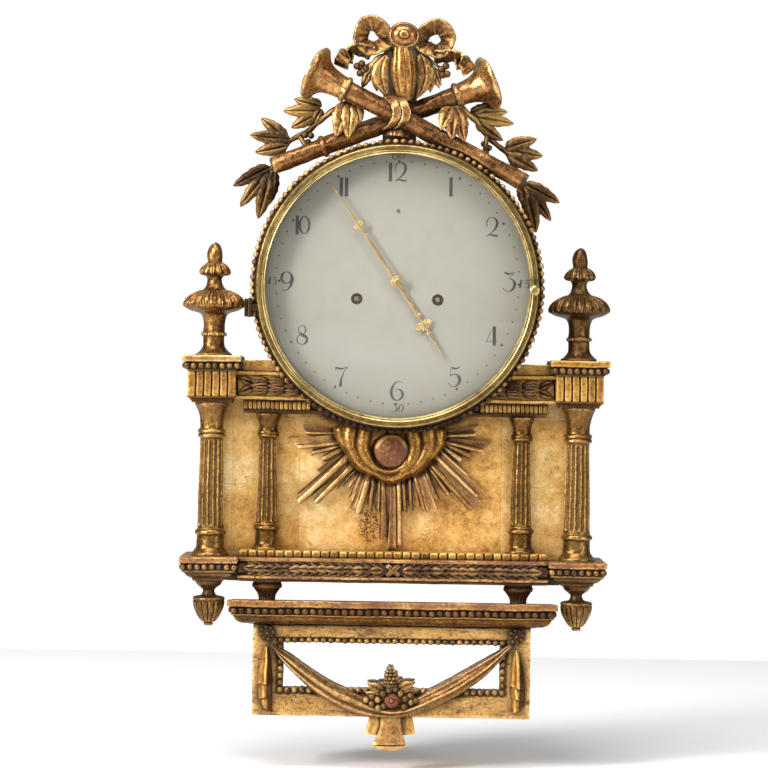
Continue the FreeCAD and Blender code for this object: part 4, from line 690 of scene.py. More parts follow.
def glass():
    t = NT("dial_glass")
    tr = t.t.nodes.new('ShaderNodeBsdfTransparent')
    tr.inputs[0].default_value = (0.902, 0.9, 0.897, 1)
    gl = t.t.nodes.new('ShaderNodeBsdfGlossy')
    gl.inputs['Color'].default_value = (1, 1, 1, 1)
    n = t.noise(14, 3, 0.5)
    t.put(gl.inputs['Roughness'], t.rng(n, 0.3, 0.7, 0.02, 0.07, False))
    fr = t.t.nodes.new('ShaderNodeFresnel')
    fr.inputs['IOR'].default_value = 1.45
    mx = t.t.nodes.new('ShaderNodeMixShader')
    geo = t.t.nodes.new('ShaderNodeNewGeometry')
    t.put(mx.inputs[0], t.m('MULTIPLY', fr.outputs[0], t.m('SUBTRACT', 1.0, geo.outputs['Backfacing'])))
    t.t.links.new(tr.outputs[0], mx.inputs[1])
    t.t.links.new(gl.outputs[0], mx.inputs[2])
    t.t.links.new(mx.outputs[0], t.out.inputs['Surface'])
    return t.mat


M_GLASS = glass()


def mirror():
    t = NT("old_mirror")
    n1, n2 = t.noise(20, 5, 0.65, 0.4), t.noise(260, 4, 0.65)
    fox = t.m('MULTIPLY', t.rng(n2, 0.62, 0.74), t.rng(n1, 0.5, 0.68))
    base = t.ramp(t.noise(5, 3, 0.5), [(0.36, srgb(216, 227, 240)), (0.62, srgb(240, 245, 250))])
    col = t.mix(t.m('MULTIPLY', fox, 0.7), base, srgb(112, 104, 92))
    rough = t.m('ADD', t.rng(n1, 0.3, 0.7, 0.05, 0.12, False), t.m('MULTIPLY', fox, 0.4))
    return t.done(col, rough, t.m('SUBTRACT', 0.96, t.m('MULTIPLY', fox, 0.6)))


M_MIRROR = mirror()
M_PANEL = panel_leaf()
M_FRAME = gilt("frame_leaf", srgb(254, 226, 160), srgb(200, 154, 87), srgb(88, 57, 30), wear=0.5, hollow_dirt_and_shade=1.1, speck=1.0, met=0.82, ro=(0.22, 0.36), bump=0.3, streak=(0.2, 1, 1), bole=srgb(92, 58, 42), edge=0.8, pit=360)

def clear(V, rmin=164.2):
    """Keeps points outside the drum."""
    R = np.hypot(V[..., 0], V[..., 2])
    k = np.where(R < rmin, rmin / np.maximum(R, 1e-6), 1.0)
    W = V.copy()
    W[..., 0] *= k
    W[..., 2] *= k
    return W


# ---------------------------------------------------------------- the case: plinths, finials, columns, friezes
for side, tag in ((-1, "left"), (1, "right")):
    xc = 212 * side
    x0, x1 = xc - 34, xc + 34
    G = Geo()
    boxsweep(G, x0, x1, 16, 108, [(1.2, -82), (0.3, -82.6), (0, -83.6), (0, -88.0), (0.4, -89.0), (1.4, -89.6)], pstep=1.0, step=4)
    make("plinth_cap_" + tag, G, M_PALE if side < 0 else M_ORANGE, wob=0.4)
    G = Geo()
    boxsweep(G, x0 + 4.6, x1 - 4.6, 16, 103.4, [(0, -89.4), (0, -93.5), (0, -98.6)], step=5)
    make("plinth_bead_ground_" + tag, G, M_BROWN, wob=0.3)
    G = Geo()
    zc = -93.9
    cen = [(x0 + 5.2 + i * 8.23, -104.6, zc) for i in range(8)]
    for sx in (x0 + 3.4, x1 - 3.4):
        cen += [(sx, -96.4 + i * 8.25, zc) for i in range(10)]
    beads(G, cen, 4.0)
    make("plinth_beads_" + tag, G, M_BEAD, wob=0.2)
    # the block with its upright bands
    G = Geo()
    half, fd = 27.4, 101.0
    boxsweep(G, xc - half + 2.2, xc + half - 2.2, 16, fd - 2.2, [(0, -98.4), (0, -129.6)], step=5, pstep=3)
    boxsweep(G, xc - half - 0.6, xc + half + 0.6, 16, fd + 0.6, [(0, -98.4), (0, -99.6), (0.8, -100.2)], step=5)
    nb, pitch = 6, 2 * half / 6.0
    for i in range(nb):
        a = xc - half + i * pitch + (0 if i == 0 else 0.95)
        b = xc - half + (i + 1) * pitch - (0 if i == nb - 1 else 0.95)
        boxsweep(G, a, b, fd - 5, fd, [(0.5, -99.8), (0, -100.6), (0, -115), (0, -128.6), (0.6, -129.5)], step=2.2, bev=0.9, tone=0.5 + rng.uniform(-.2, .2))
    for sx in (-1, 1):
        nd = 9
        for i in range(nd):
            a = 16.5 + i * (fd - 2.5 - 16.5) / nd + 0.9
            b = 16.5 + (i + 1) * (fd - 2.5 - 16.5) / nd - 0.9
            xx = sorted((xc + sx * (half - 4), xc + sx * half))
            H = Geo()
            boxsweep(H, xx[0], xx[1], a, b, [(0.3, -99.8), (0, -100.6), (0, -115), (0, -128.6), (0.5, -129.5)], step=3, bev=0.6)
            G.add(np.concatenate(H.v), np.concatenate(H.q), H.p, 0.5 + rng.uniform(-.2, .2))
    make("plinth_bands_" + tag, G, M_ORANGE, wob=0.35, rep=("plinth_" + tag,))
    G = Geo()
    boxsweep(G, xc - half - 0.4, xc + half + 0.4, 16, fd + 0.4, [(0, -129.4), (0, -130.6), (1.0, -131.0), (3.2, -132.8), (5.0, -135.2), (5.2, -136.5)], step=4, pstep=0.9)
    make("plinth_neck_" + tag, G, M_BROWN, wob=0.3)

    # finial: turned vase, two collars of leaves, egg tip
    FINIAL = [(0, 0), (21, 0), (21, 2), (17.5, 4.5), (14, 8.5), (12.4, 13), (12.2, 22), (13.2, 22.6), (14.2, 24.6), (13.4, 27.2), (12.4, 27.8), (12.3, 37), (13.5, 44), (17, 49), (28, 52.5),
              (34, 56), (35.0, 58.5), (34.4, 61.5), (31, 66.5), (25, 71), (18.5, 74), (13, 77), (9.6, 82), (8.5, 88), (9.8, 92), (16, 95.0), (17.6, 97), (15.5, 101.5), (10.4, 106.5), (8.2, 109), (8.9, 114), (8.7, 119.5),
              (7, 125.5), (4, 129.5), (0, 131.5)]

    def leafy(th, h, r):
        D = 0 * th + 0 * h
        for lo, hi, n, amp in ((55.5, 76.5, 22, 1.5), (93.5, 107.5, 13, 1.3)):
            u = (hi - h) / (hi - lo)
            inside = (u > 0) & (u < 1)
            t1 = np.mod(n * th / (2 * pi), 1) - 0.5
            b = 0.5 * np.clip((1.02 - u) / 0.42, 0, 1) ** 0.7
            one = np.where(np.abs(t1) < b, 1 - 0.75 * np.abs(t1 / np.maximum(b, 1e-3)) ** 2.2, -0.25) - 0.7 * np.exp(-(t1 / 0.05) ** 2) * (np.abs(t1) < b)
            D = D + np.where(inside, amp * one * np.clip(u / 0.12, 0, 1), 0)
        return D + 0.35 * sin(3 * th + h * 0.2)
    G = Geo()
    lathe(G, FINIAL, (xc, -66, -82), n=176, disp=leafy, step=0.85)
    G2 = Geo()
    beads(G2, [(xc + 13.4 * math.cos(a), -66 + 13.4 * math.sin(a), -57.2) for a in np.linspace(0, 2 * pi, 26, endpoint=False)], 1.7)
    G.add(np.concatenate(G2.v), np.concatenate(G2.q), (), np.concatenate(G2.t))
    make("finial_turned_" + tag, G, M_WARM if side < 0 else M_DARK, wob=0.3, rep=("finial_" + tag,))

    # outer column
    OUTER = [(0, 0), (21.4, 0), (21.4, 3.2), (20.6, 4.4), (18.4, 7), (16.4, 10.5), (15.8, 16), (15.6, 24), (16.6, 24.8), (18, 26.2), (18.2, 28), (17.2, 30.2), (15.5, 31.4), (15.3, 33), (15.3, 35),
             (13.4, 136.0), (14.4, 137), (16.0, 138.2), (16.2, 140), (15.2, 141.6), (15.0, 142.2), (16.2, 143.2), (16.3, 145), (15.2, 146.8), (13.6, 148), (13.3, 151), (14.2, 161), (16.8, 169.5), (18.2, 172.6), (18.4, 173.4), (18.9, 174), (19.6, 175.2), (19.6, 177.5), (0, 177.5)]

    def flutes(n, lo, hi, dep, wd=0.40):
        def f(th, h, r):
            t1 = np.abs(np.mod(n * th / (2 * pi), 1) - 0.5)
            ch = np.sqrt(np.clip(1 - (t1 / wd) ** 2, 0, 1))
            e = np.clip(np.minimum(h - lo, hi - h) / 3.0, 0, 1)
            k = np.sqrt(np.clip(1 - (1 - e) ** 2, 0, 1))
            return -dep * np.clip(ch - (1 - k), 0, 1) * (e > 0)
        return f
    G = Geo()
    lathe(G, OUTER, (xc, -78, -314), n=240, disp=flutes(14, 35.5, 135.0, 1.9, 0.36), step=1.1)
    make("outer_column_turned_" + tag, G, M_COL, wob=0.35, rep=("outer_column_" + tag,))
    INNER = [(0, 0), (17.3, 0), (17.3, 2.2), (16.4, 3.4), (13.8, 7), (13.1, 12), (13, 22), (14.2, 22.8), (15.6, 24.2), (15.8, 26), (14.6, 28), (12.7, 29.4), (12.4, 31), (12.4, 32),
             (9.9, 129.0), (10.8, 129.9), (12.6, 131), (12.9, 132.6), (12.3, 133.6), (12.8, 134.6), (12.7, 136.2), (11.2, 137.8), (10.8, 139.5), (11, 144.5), (13.1, 151.0), (14.2, 153.4), (14.4, 154.4), (15, 155.4), (15, 157.4), (0, 157.4)]
    G = Geo()
    lathe(G, INNER, (147 * side, -71.6, -305.8), n=176, disp=flutes(12, 32.5, 128.0, 1.7, 0.35), step=1.1)
    make("inner_column_turned_" + tag, G, M_COL2, wob=0.35, rep=("inner_column_" + tag,))

    # frieze between plinth and drum
    def inner(z, s=side):
        return s * (math.sqrt(max(163.5 ** 2 - z * z, 0)) + 0.3)

    def span(G, prof, d, out=186.5, tone=0.5, bk=16, st=4.0):
        if side < 0:
            boxsweep(G, -out, inner, bk, d, prof, step=st, pstep=1.6, tone=tone)
        else:
            boxsweep(G, inner, out, bk, d, prof, step=st, pstep=1.6, tone=tone)
    G = Geo()
    span(G, [(0.6, -87), (0, -87.8), (0, -99.2), (0.5, -100.4)], 80)
    make("frieze_top_band_" + tag, G, M_BRIGHT, wob=0.4)
    G = Geo()
    span(G, [(0, -100.2), (0, -103.6), (1.2, -104.4), (3.4, -105.2), (3.6, -116), (3.4, -127.4), (1.2, -128.2), (0, -129), (0, -132)], 83.4)
    make("frieze_leaf_ground_" + tag, G, M_GROUND, wob=0.5, rep=("frieze_" + tag,))
    G = Geo()
    z0 = -116.2
    for k in range(5):
        bx = side * (88.1 + 19.4 * k)
        for dz0, dz1, ln, w, dd in ((2.6, 10.2, 20.0, 8.4, -80.6), (-2.6, -10.2, 20.0, 8.4, -80.6), (1.4, 5.4, 22.0, 7.4, -81.6), (-1.4, -5.4, 22.0, 7.4, -81.6), (0, 0, 23.4, 7.0, -82.6)):
            b = np.array([bx, dd + 0.6, z0 + dz0])
            t = np.array([bx + side * (ln + rng.uniform(-.8, .8)), dd - 1.8, z0 + dz1])
            if abs(t[0]) > 187 or np.hypot(t[0], t[2]) < 172:
                continue
            leaf(G, b, t, w, arch=1.7, thick=3.4, rib=1.6, nu=17, nv=11, curl=0.8, base=0.5, pw=0.62, tip=1.15, tone=0.5 + rng.uniform(-.3, .3))
    G.v = [clear(V) for V in G.v]
    make("frieze_laurel_" + tag, G, M_LAUREL, wob=0.3)
    G = Geo()
    span(G, [(0, -131.8), (0, -144.2)], 70.6, out=175.4)
    span(G, [(0.4, -131.6), (0, -132.2), (0, -133.2), (0.8, -133.8)], 75, out=176.4)
    span(G, [(1.2, -143.8), (0, -144.4), (0, -147.2), (0.6, -148.4)], 75.2, out=176.4)
    make("frieze_strip_" + tag, G, M_BROWN, wob=0.35)
    G = Geo()
    n = 0
    for i in range(24):
        xm = side * (173.6 - i * 5.2)
        if abs(xm) < abs(inner(-133.6)) + 2.2:
            continue
        boxsweep(G, xm - 2.15, xm + 2.15, 69, 74.4, [(0.5, -133.4), (0, -134.2), (0, -138), (0, -143), (0.5, -144.1)], step=1.1, bev=1.2, tone=0.5 + rng.uniform(-.25, .25))
    for j in range(9):
        dm = 70.0 - j * 5.2
        boxsweep(G, side * 175.6 - 1.4, side * 175.6 + 1.4, dm - 1.7, dm + 1.7, [(0.3, -133.4), (0, -134.2), (0, -143), (0.3, -144.1)], step=2, bev=0.6)
    make("frieze_bars_" + tag, G, M_ORANGE, wob=0.3)

    # drop under the corner block
    DROP = [(0, 0), (4.4, 0.2), (5.4, 1.4), (5.2, 2.6), (4.4, 3.2), (8.0, 5.4), (13.0, 12.4), (16.8, 20.5), (18.0, 27.2), (17.9, 29.4), (18.6, 30.6), (18.4, 32.4), (16.4, 33.6), (12.5, 34.2), (8.4, 35.6), (6.8, 39.0), (6.9, 41.6), (9.5, 44.0), (13.4, 47), (15.3, 49.6), (15.9, 51), (15.9, 53), (0, 53)]

    def lobes(th, h, r):
        g = np.abs(cos(7 * th)) ** 0.55
        return (1.5 * (g - 0.72) - 1.0 * (g < 0.3)) * sstep(2.8, 7, h) * (1 - sstep(27.2, 29.6, h))
    G = Geo()
    lathe(G, DROP, (213 * side, -76, -394.5), n=168, disp=lobes, step=0.9)
    make("drop_turned_" + tag, G, M_DARK, wob=0.3, rep=("drop_finial_" + tag,))

# posts between shelf and bracket
G = Geo()
for side in (-1, 1):
    POST = [(0, -5), (9.6, -5), (9.6, 0), (9.8, 2), (10.6, 5), (13.4, 9.4), (14.8, 10.6), (14.2, 11.4), (15.4, 12), (16.9, 13.2), (17.3, 15.6), (16.7, 17.6), (15.8, 18.2), (16.4, 18.8), (16.4, 20.2), (15, 21.1), (0, 21.1)]
    lathe(G, POST, (145.5 * side, -74, -362.6), n=144, step=0.8,
          disp=lambda th, h, r: -1.1 * np.abs(sin(9 * th)) ** 0.7 * sstep(0.3, 1.5, h) * (1 - sstep(8.6, 10.2, h)))
make("bracket_posts_turned", G, M_BROWN, wob=0.25, rep=("bracket_posts",))

# ---------------------------------------------------------------- base shelf
G = Geo()
boxsweep(G, -179, 179, 0, 102, [(1.6, -313.9), (0.3, -314.4), (0, -315.4), (0, -317.6), (1.2, -318.4), (4.2, -318.8)], step=4, pstep=0.9)
boxsweep(G, -179, 179, 0, 101.4, [(4, -334.2), (1.0, -334.5), (0, -335.0), (0, -337.2), (0.6, -337.9)], step=5, pstep=0.9)
make("shelf_fillets", G, M_RED, wob=0.4)
G = Geo()
boxsweep(G, -178.6, 178.6, 2, 98.5, [(1.5, -337.4), (0.6, -338.0), (0.4, -341.0), (1.6, -341.5)], step=5, pstep=0.9)
boxsweep(G, -194, 194, 4, 94, [(0, -330), (0, -337), (1.0, -338.4), (1.6, -341.2)], step=5, pstep=0.9)
make("shelf_under_fillet", G, M_BROWN, wob=0.4)
G = Geo()
a = np.linspace(-pi / 2, pi / 2, 13)
prof = [(6.5, -318.6)] + [(5.2 - 5.0 * math.cos(t), -326.4 - 7.6 * math.sin(t)) for t in a] + [(6.5, -334.4)]
boxsweep(G, -178.8, 178.8, 4, 101.6, prof, step=5, raw=True)
make("shelf_torus_core", G, M_BROWN, wob=0.4, rep=("base_shelf",))
G = Geo()
for s in (-1, 1):
    k = 0
    while True:
        bx = 11 + 10.2 * k
        if bx > 170:
            break
        for row, (dz, ang) in enumerate(((0.3, 0), (4.2, 30), (-4.2, -30))):
            a = math.radians(ang + rng.uniform(-5, 5))
            ln = 19.5 if row == 0 else 18.0
            b = np.array([s * bx, -(101.0 if row == 0 else 99.4), -326.4 + dz * 0.8])
            t = b + np.array([s * ln * math.cos(a), -0.9 if row == 0 else 0.8, ln * math.sin(a) * 0.62])
            if abs(t[0]) > 178:
                continue
            leaf(G, b, t, 9.6, n=unit((0, -1, 0.05 * dz)), arch=1.2, thick=2.6, rib=1.2, nu=12, nv=9, vein=0.2)
        k += 1
make("shelf_laurel", G, M_TORUS, wob=0.25)
G = Geo()
for ang in (52, -52):
    a = math.radians(ang)
    P = [np.array([13 * math.cos(a) * s_, -(96.6 + 7.2 * math.cos(math.asin(max(-1, min(1, 10 * math.sin(a) * s_ / 8.6))))), -326.4 + 10 * math.sin(a) * s_ * 0.86]) for s_ in np.linspace(-0.85, 0.85, 15)]
    strap(G, P, 2.4, 1.6, np.array([math.cos(a + pi / 2), 0, math.sin(a + pi / 2)]), n=14)
make("shelf_binding", G, M_TORUS, wob=0.2)
# dentil step
G = Geo()
boxsweep(G, -176.4, 176.4, 16, 87.4, [(0, -305.9), (0, -314)], step=6)
make("dentil_ground", G, M_BROWN, wob=0.3)
G = Geo()
boxsweep(G, -177.2, 177.2, 16, 88.6, [(0.6, -305.8), (0, -306.2), (0, -306.9), (0.8, -307.3)], step=5)
n = 34
for i in range(n):
    w = 356.0 / n
    xm = -178 + w * (i + 0.5)
    k = 4.6 + rng.uniform(-.3, .2)
    boxsweep(G, xm - k, xm + k, 84, 90 + rng.uniform(-.3, .2), [(0.8, -306.5), (0.1, -307.2), (0, -308.4), (0, -312.9), (0.5, -314)], step=2.2, bev=1.0, tone=0.5 + rng.uniform(-.3, .3))
for s in (-1, 1):
    for j in range(6):
        dm = 79 - j * 10.4
        boxsweep(G, s * 176.6 - 1.5, s * 176.6 + 1.5, dm - 3.8, dm + 3.8, [(0.4, -306.8), (0, -307.4), (0, -313), (0.4, -314)], step=3, bev=0.6)
make("dentil_blocks", G, M_ORANGE, wob=0.3)
for side, tag in ((-1, "left"), (1, "right")):
    xc = 212 * side
    G = Geo()
    boxsweep(G, xc - 33.5, xc + 33.5, 0, 112, [(1.4, -313.8), (0.3, -314.4), (0, -315.4), (0, -319.6), (0.5, -320.6), (2, -321.2)], step=4, pstep=0.8)
    make("corner_fascia_" + tag, G, M_RED, wob=0.45)
    G = Geo()
    boxsweep(G, xc - 29.6, xc + 29.6, 2, 108, [(0, -320.8), (0, -330.0)], step=5)
    boxsweep(G, xc - 19, xc + 19, 4, 99, [(0, -338), (0.4, -341.0), (1.4, -341.5)], step=4, pstep=1)
    make("corner_ground_" + tag, G, M_BROWN, wob=0.4)
    G = Geo()
    boxsweep(G, xc - 30.6, xc + 30.6, 2, 109, [(0.4, -329.2), (0, -329.6), (0, -331.0), (1.4, -331.4), (3.2, -332.6), (5.4, -335.4), (9.4, -337.6), (11.2, -338.2), (11.4, -339)], step=4, pstep=0.8)
    make("corner_cove_" + tag, G, M_DARK, wob=0.4)
    G = Geo()
    cen = [(xc - 29.4 + i * 8.4, -108.4, -325.2) for i in range(8)]
    for sx in (-1, 1):
        cen += [(xc + sx * 30.0, -100 + i * 8.4, -325.2) for i in range(12)]
    beads(G, cen, 3.9)
    make("corner_beads_" + tag, G, M_BEAD, wob=0.25)

# ---------------------------------------------------------------- bracket with mirror
G = Geo()
boxsweep(G, -190, 190, 0, 106, [(1.6, -362.5), (0.4, -363.0), (0, -364), (0, -369.2), (0.7, -370.4), (3, -370.9)], step=4, pstep=0.9)
for V in G.v:
    V[:, 2] -= (106 + V[:, 1]) * 0.068 * np.clip((V[:, 2] + 370.9) / 8.4, 0, 1)
make("cornice_fascia", G, M_RED, wob=0.5)
G = Geo()
boxsweep(G, -184.4, 184.4, 0, 100.4, [(0, -370.6), (0, -379.4)], step=5)
make("cornice_bead_ground", G, M_BROWN, wob=0.4)
G = Geo()
boxsweep(G, -186, 186, 0, 102, [(1.2, -379.0), (0.2, -379.3), (0, -379.9), (0.2, -380.6), (1.4, -381.0), (2.6, -381.6), (4.0, -384.4), (7.4, -388.0), (13.0, -390.4), (19.4, -391.2), (20, -391.8)], step=4, pstep=0.8)
make("cornice_cavetto", G, M_CORN, wob=0.5, rep=("bracket_cornice",))
G = Geo()
cen = [(-182.4 + i * 9.12, -101.4, -375.0) for i in range(41)]
for sx in (-1, 1):
    cen += [(sx * 185.4, -92.4 + i * 9.12, -375.0) for i in range(11)]
beads(G, cen, 4.2)
make("cornice_beads", G, M_BROWN, wob=0.3)
# frame round the mirror
G = Geo()
ix, iz0, iz1, ox, oz0, oz1 = 125.0, -464.0, -412.4, 160.5, -497.0, -391.8
tt = [(0, 74.3), (0, 77), (0, 79.6), (0.05, 80.4), (0.2, 80.6), (0.26, 82.0), (0.32, 83.2), (0.4, 83.4), (0.52, 83.4), (0.64, 83.4), (0.76, 83.4), (0.88, 83.4), (0.96, 83.3), (0.985, 82.9), (1, 82.0), (1, 76), (1, 60), (1, 40), (1, 20), (1, 0.2), (0.5, 0.2), (0, 0.2), (0, 40), (0, 70.8)]
rows = []
for t, d in tt:
    a, b = ix + (ox - ix) * t, iz0 + (oz0 - iz0) * t
    c = iz1 + (oz1 - iz1) * t
    L = []
    for (xa, za), (xb, zb), m in (((-a, b), (a, b), 56), ((a, b), (a, c), 22), ((a, c), (-a, c), 56), ((-a, c), (-a, b), 22)):
        for s in np.linspace(0, 1, m, endpoint=False):
            L.append((xa + (xb - xa) * s, -d, za + (zb - za) * s))
    rows.append(L)
G.grid(rows, cu=True, cv=True)
make("frame_flat", G, M_FRAME, wob=0.4, sharp=32, rep=("bracket_frame",))
G = Geo()
boxsweep(G, -124.6, 124.6, 56, 62, [(0.6, -412.8), (0, -413.6), (0, -438), (0, -463), (0.6, -463.7)], step=8, pstep=6)
make("looking_glass_backing", G, M_PINE, wob=0.2)
G = Geo()
cen = []
bz0, bz1, bx = -467.2, -409.6, 128.4
nx = 31
for i in range(nx + 1):
    x = -bx + 2 * bx * i / nx
    cen += [(x, -82.6, bz1), (x, -82.6, bz0)]
nz = 7
for i in range(1, nz):
    z = bz0 + (bz1 - bz0) * i / nz
    cen += [(-bx, -82.6, z), (bx, -82.6, z)]
beads(G, cen, 3.45)
make("frame_beads", G, M_DARK, wob=0.3)


# rosettes at the upper corners
G = Geo()
for s in (-1, 1):
    c = np.array([144.0 * s, -83.2, -401.6])
    for k in range(8):
        a = 2 * pi * k / 8 + 0.2
        ball(G, c + np.array([6.9 * math.cos(a), -1.4, 6.9 * math.sin(a)]), 3.05, 0.5 + rng.uniform(-.2, .2), 1, 0.85, 1)
    lathe(G, [(7.4, 0), (7.2, 1.0), (5.6, 1.6), (4.7, 2.0), (4.6, 3.2), (4.0, 4.2), (3.0, 4.2), (2.5, 3.6), (2.1, 4.0), (1.7, 5.2), (0.8, 6.0), (0, 6.2)], c, n=40, kind='y', step=0.4)
make("corner_rosettes", G, M_ROSE, wob=0.15)


def px_line(pts, n, d=92):
    P = np.array([at(x, y, d)[[0, 2]] for x, y in pts])
    return spline(P, n)


# swag: three rolls of cloth, one tapering line from corner to corner
N = 97
up = px_line([(271, 642.5), (277, 647.5), (290, 655), (308, 668), (330, 682), (350, 691), (372, 700), (392, 706), (412, 700), (432, 689), (455, 677), (480, 663), (498, 653), (505, 648), (511, 645.5)], N)
dn = px_line([(271, 645.5), (275, 652), (283, 663.5), (300, 681), (320, 697), (345, 710.5), (370, 717.5), (391, 719.5), (408, 717.5), (430, 709.5), (457, 697), (482, 680.5), (497, 666), (506, 655), (512, 649.5)], N)
G = Geo()


def swag(u, v):
    body = np.sin(pi * np.clip(v, 0, 1)) ** 0.55
    grow = 0.45 + 0.55 * np.sin(pi * np.clip(u, 0, 1)) ** 0.7
    fold = 2.0 * np.cos(2 * pi * (1.9 * v + 0.22 * np.sin(2 * pi * u) + 0.12)) * np.sin(pi * v) ** 0.5
    fine = 0.35 * np.cos(2 * pi * (4.1 * v - 0.5 * u)) * np.sin(pi * v)
    return 84.2 + 11.0 * body * grow + (fold + fine) * (0.5 + 0.6 * grow)


plate(G, up, dn, lambda u, v: 79.5 + 3.5 * np.abs(v - 0.5) * 2, swag, nv=29)
make("swag_cloth", G, M_SWAG, wob=0.3, rep=("bracket_drapery",), sharp=60)

# hanging ends at each side, in two tiers
G = Geo()
for tiers in ((([(264.5, 647), (261.5, 657), (259, 669), (257, 683.5)], [(268, 647), (270, 656), (271.8, 668), (272.6, 684)]),
               ([(258, 681), (257.4, 690), (258, 699.5)], [(271.6, 681), (272.2, 688), (271.6, 694.5)]),
               ([(259.4, 693), (259.4, 702), (261.5, 706)], [(271, 691), (272, 703), (271.4, 713)])),
              (([(515, 650.5), (513, 659), (511, 671), (510, 686)], [(518.5, 650.5), (521.5, 660), (524.5, 674), (525.5, 691)]),
               ([(511.2, 684), (511, 691), (511.4, 697)], [(524.6, 688), (525.6, 695), (525, 703)]),
               ([(511.8, 694), (511.2, 706), (511.8, 714)], [(524, 698), (524, 706), (521.8, 709.5)]))):
    for i, (l2, r2) in enumerate(tiers):
        A, B = px_line(l2, 25), px_line(r2, 25)

        def tail(u, v, i=i):
            return 84.6 - 1.6 * i + (5.5 + (4.5 if i == 0 else 2.5) * u) * np.sin(pi * v) ** 0.42 + (1.7 - 0.3 * i) * np.cos(2 * pi * (1.25 * v + 0.3 + 0.2 * i)) * np.sin(pi * v) * (0.4 + u)
        plate(G, A, B, 82.2, tail, nv=21, tone=0.56 - 0.06 * i)
        # right part of each tail darker: painted shade on the side of the fold away from the light
        f = (G.v[-1][:, 0] - G.v[-1][:, 0].min()) / np.ptp(G.v[-1][:, 0])
        G.t[-1] = G.t[-1] + 0.12 - 0.95 * sstep(0.56, 0.7, f)
make("hanging_ends", G, M_ORANGE, wob=0.3, sharp=60)

# tie below the frame
G = Geo()
A, B = px_line([(380.5, 717.5), (379.5, 727), (376.5, 737), (373, 745.5)], 25), px_line([(401, 717.5), (401.5, 727), (403, 737), (405.5, 745.5)], 25)
plate(G, A, B, lambda u, v: 73 + 1.5 * u, lambda u, v: 86.5 + 3.0 * np.sin(pi * v) ** 0.5 - 2.2 * sstep(0.7, 0.9, u) + 0.5 * np.cos(4 * pi * v) * np.sin(pi * v), nv=19)
P = spline([at(373.4, 745.6, 80), at(380, 747.4, 83), (at(389.5, 748.2, 84)), at(399, 747.4, 83), at(405.4, 745.2, 80)], 21)
tube(G, P, [2.4 + 1.0 * math.sin(pi * i / 20) for i in range(21)], n=12)
make("tie_middle", G, gilt("tie_pitted_gold", srgb(236, 200, 134), srgb(184, 138, 80), srgb(92, 60, 33), wear=0.2, hollow_dirt_and_shade=1.0, speck=1.0, bump=0.6, pit=330, edge=0.6), wob=0.3)
G = Geo()
for l2, r2 in (([(369, 717), (367.5, 725), (364.5, 735)], [(384.5, 717), (383.5, 727), (381, 736.5)]), ([(397.5, 717), (399.5, 727), (401, 736.5)], [(412, 717), (414, 726), (415.5, 735.5)])):
    A, B = px_line(l2, 17), px_line(r2, 17)
    plate(G, A, B, 72, lambda u, v: 81.0 + 2.0 * np.sin(pi * v) ** 0.5 + 0.7 * np.cos(2 * pi * 1.5 * v) * np.sin(pi * v), nv=13)
make("tie_ends", G, M_BRIGHT, wob=0.3)

# bouquet on the swag: cone, petals, fruit and a rosette
G = Geo()
c0 = at(390.5, 682, 95)
for i, (py, rr) in enumerate(((669.5, 2.2), (672.5, 4.2), (676, 6.2), (679.5, 7.2), (683, 7.4), (686.5, 6.6))):
    n = (3, 6, 8, 9, 9, 8)[i]
    for k in range(n):
        a = 2 * pi * (k + 0.5 * (i % 2)) / n
        b = at(390.5, py + 1.2, 94) + np.array([rr * math.cos(a) * 0.62, -rr * math.sin(a) * 0.5, 0])
        t = at(390.5, py - 2.6, 94) + np.array([rr * math.cos(a) * 1.05, -rr * math.sin(a) * 0.9 - 0.5, 0])
        if -b[1] < 90:
            continue
        leaf(G, b, t, 4.6, n=unit((math.cos(a), -abs(math.sin(a)) - 0.3, 0.1)), arch=0.4, thick=1.8, rib=0.5, nu=7, nv=7, vein=0, pw=0.9)
lathe(G, [(0, -13), (5.2, -10), (6.6, -4), (6.2, 3), (4.2, 10), (1.6, 15), (0, 16)], c0 + np.array([0, 2.5, -1]), n=24, step=1.5)
make("bouquet_cone", G, M_DARK, wob=0.15)
G = Geo()
for bx, by, tx, ty, w in ((384, 692, 366.5, 682.5, 9.5), (386, 690, 378.5, 681.5, 8.5), (382, 697, 364.5, 692, 8), (397, 690, 416, 681.5, 9.5), (395, 688, 403, 679, 8), (399, 696, 417, 690.5, 8), (394, 686, 397, 672, 7)):
    leaf(G, at(bx, by, 92.5), at(tx, ty, 90.5), w * 1.15, arch=2.2, thick=2.6, rib=1.1, nu=11, nv=9)
make("bouquet_petals", G, M_DARK, wob=0.15)
G = Geo()
for bx, by, r in ((366, 700, 3.4), (371.5, 704, 3.6), (377.5, 700, 3.7), (378, 708, 3.8), (372, 697, 3.2), (383.5, 706.5, 3.4), (405.5, 699, 3.6), (411, 702.5, 3.5), (415.5, 701, 3.0), (404.5, 707.5, 3.6), (410, 696, 3.2), (383, 694, 3.6), (400.5, 693.5, 3.4), (389, 690.5, 3.6), (395, 689.5, 3.4)):
    ball(G, at(bx, by, 95.5), r * 1.15, 0.5 + rng.uniform(-.3, .3), 1, 0.95, 1)
make("bouquet_fruit", G, M_DARK, wob=0.2)
G = Geo()
c = at(391.8, 701, 95)
for k in range(9):
    a = 2 * pi * k / 9
    u = np.array([math.cos(a), 0, math.sin(a)])
    leaf(G, c + u * 3.0 + FRONT * 0.6, c + u * 9.2 + FRONT * 0.2, 6.4, arch=1.5, thick=2.2, rib=0.8, nu=8, nv=7, pw=1.2, vein=0, base=0.3)
lathe(G, [(6.2, 0), (6.2, 3.0), (5.4, 4.4), (4.2, 4.6), (3.4, 4.0), (2.4, 4.6), (1.2, 5.8), (0, 6.0)], c, n=24, kind='y', step=0.6)
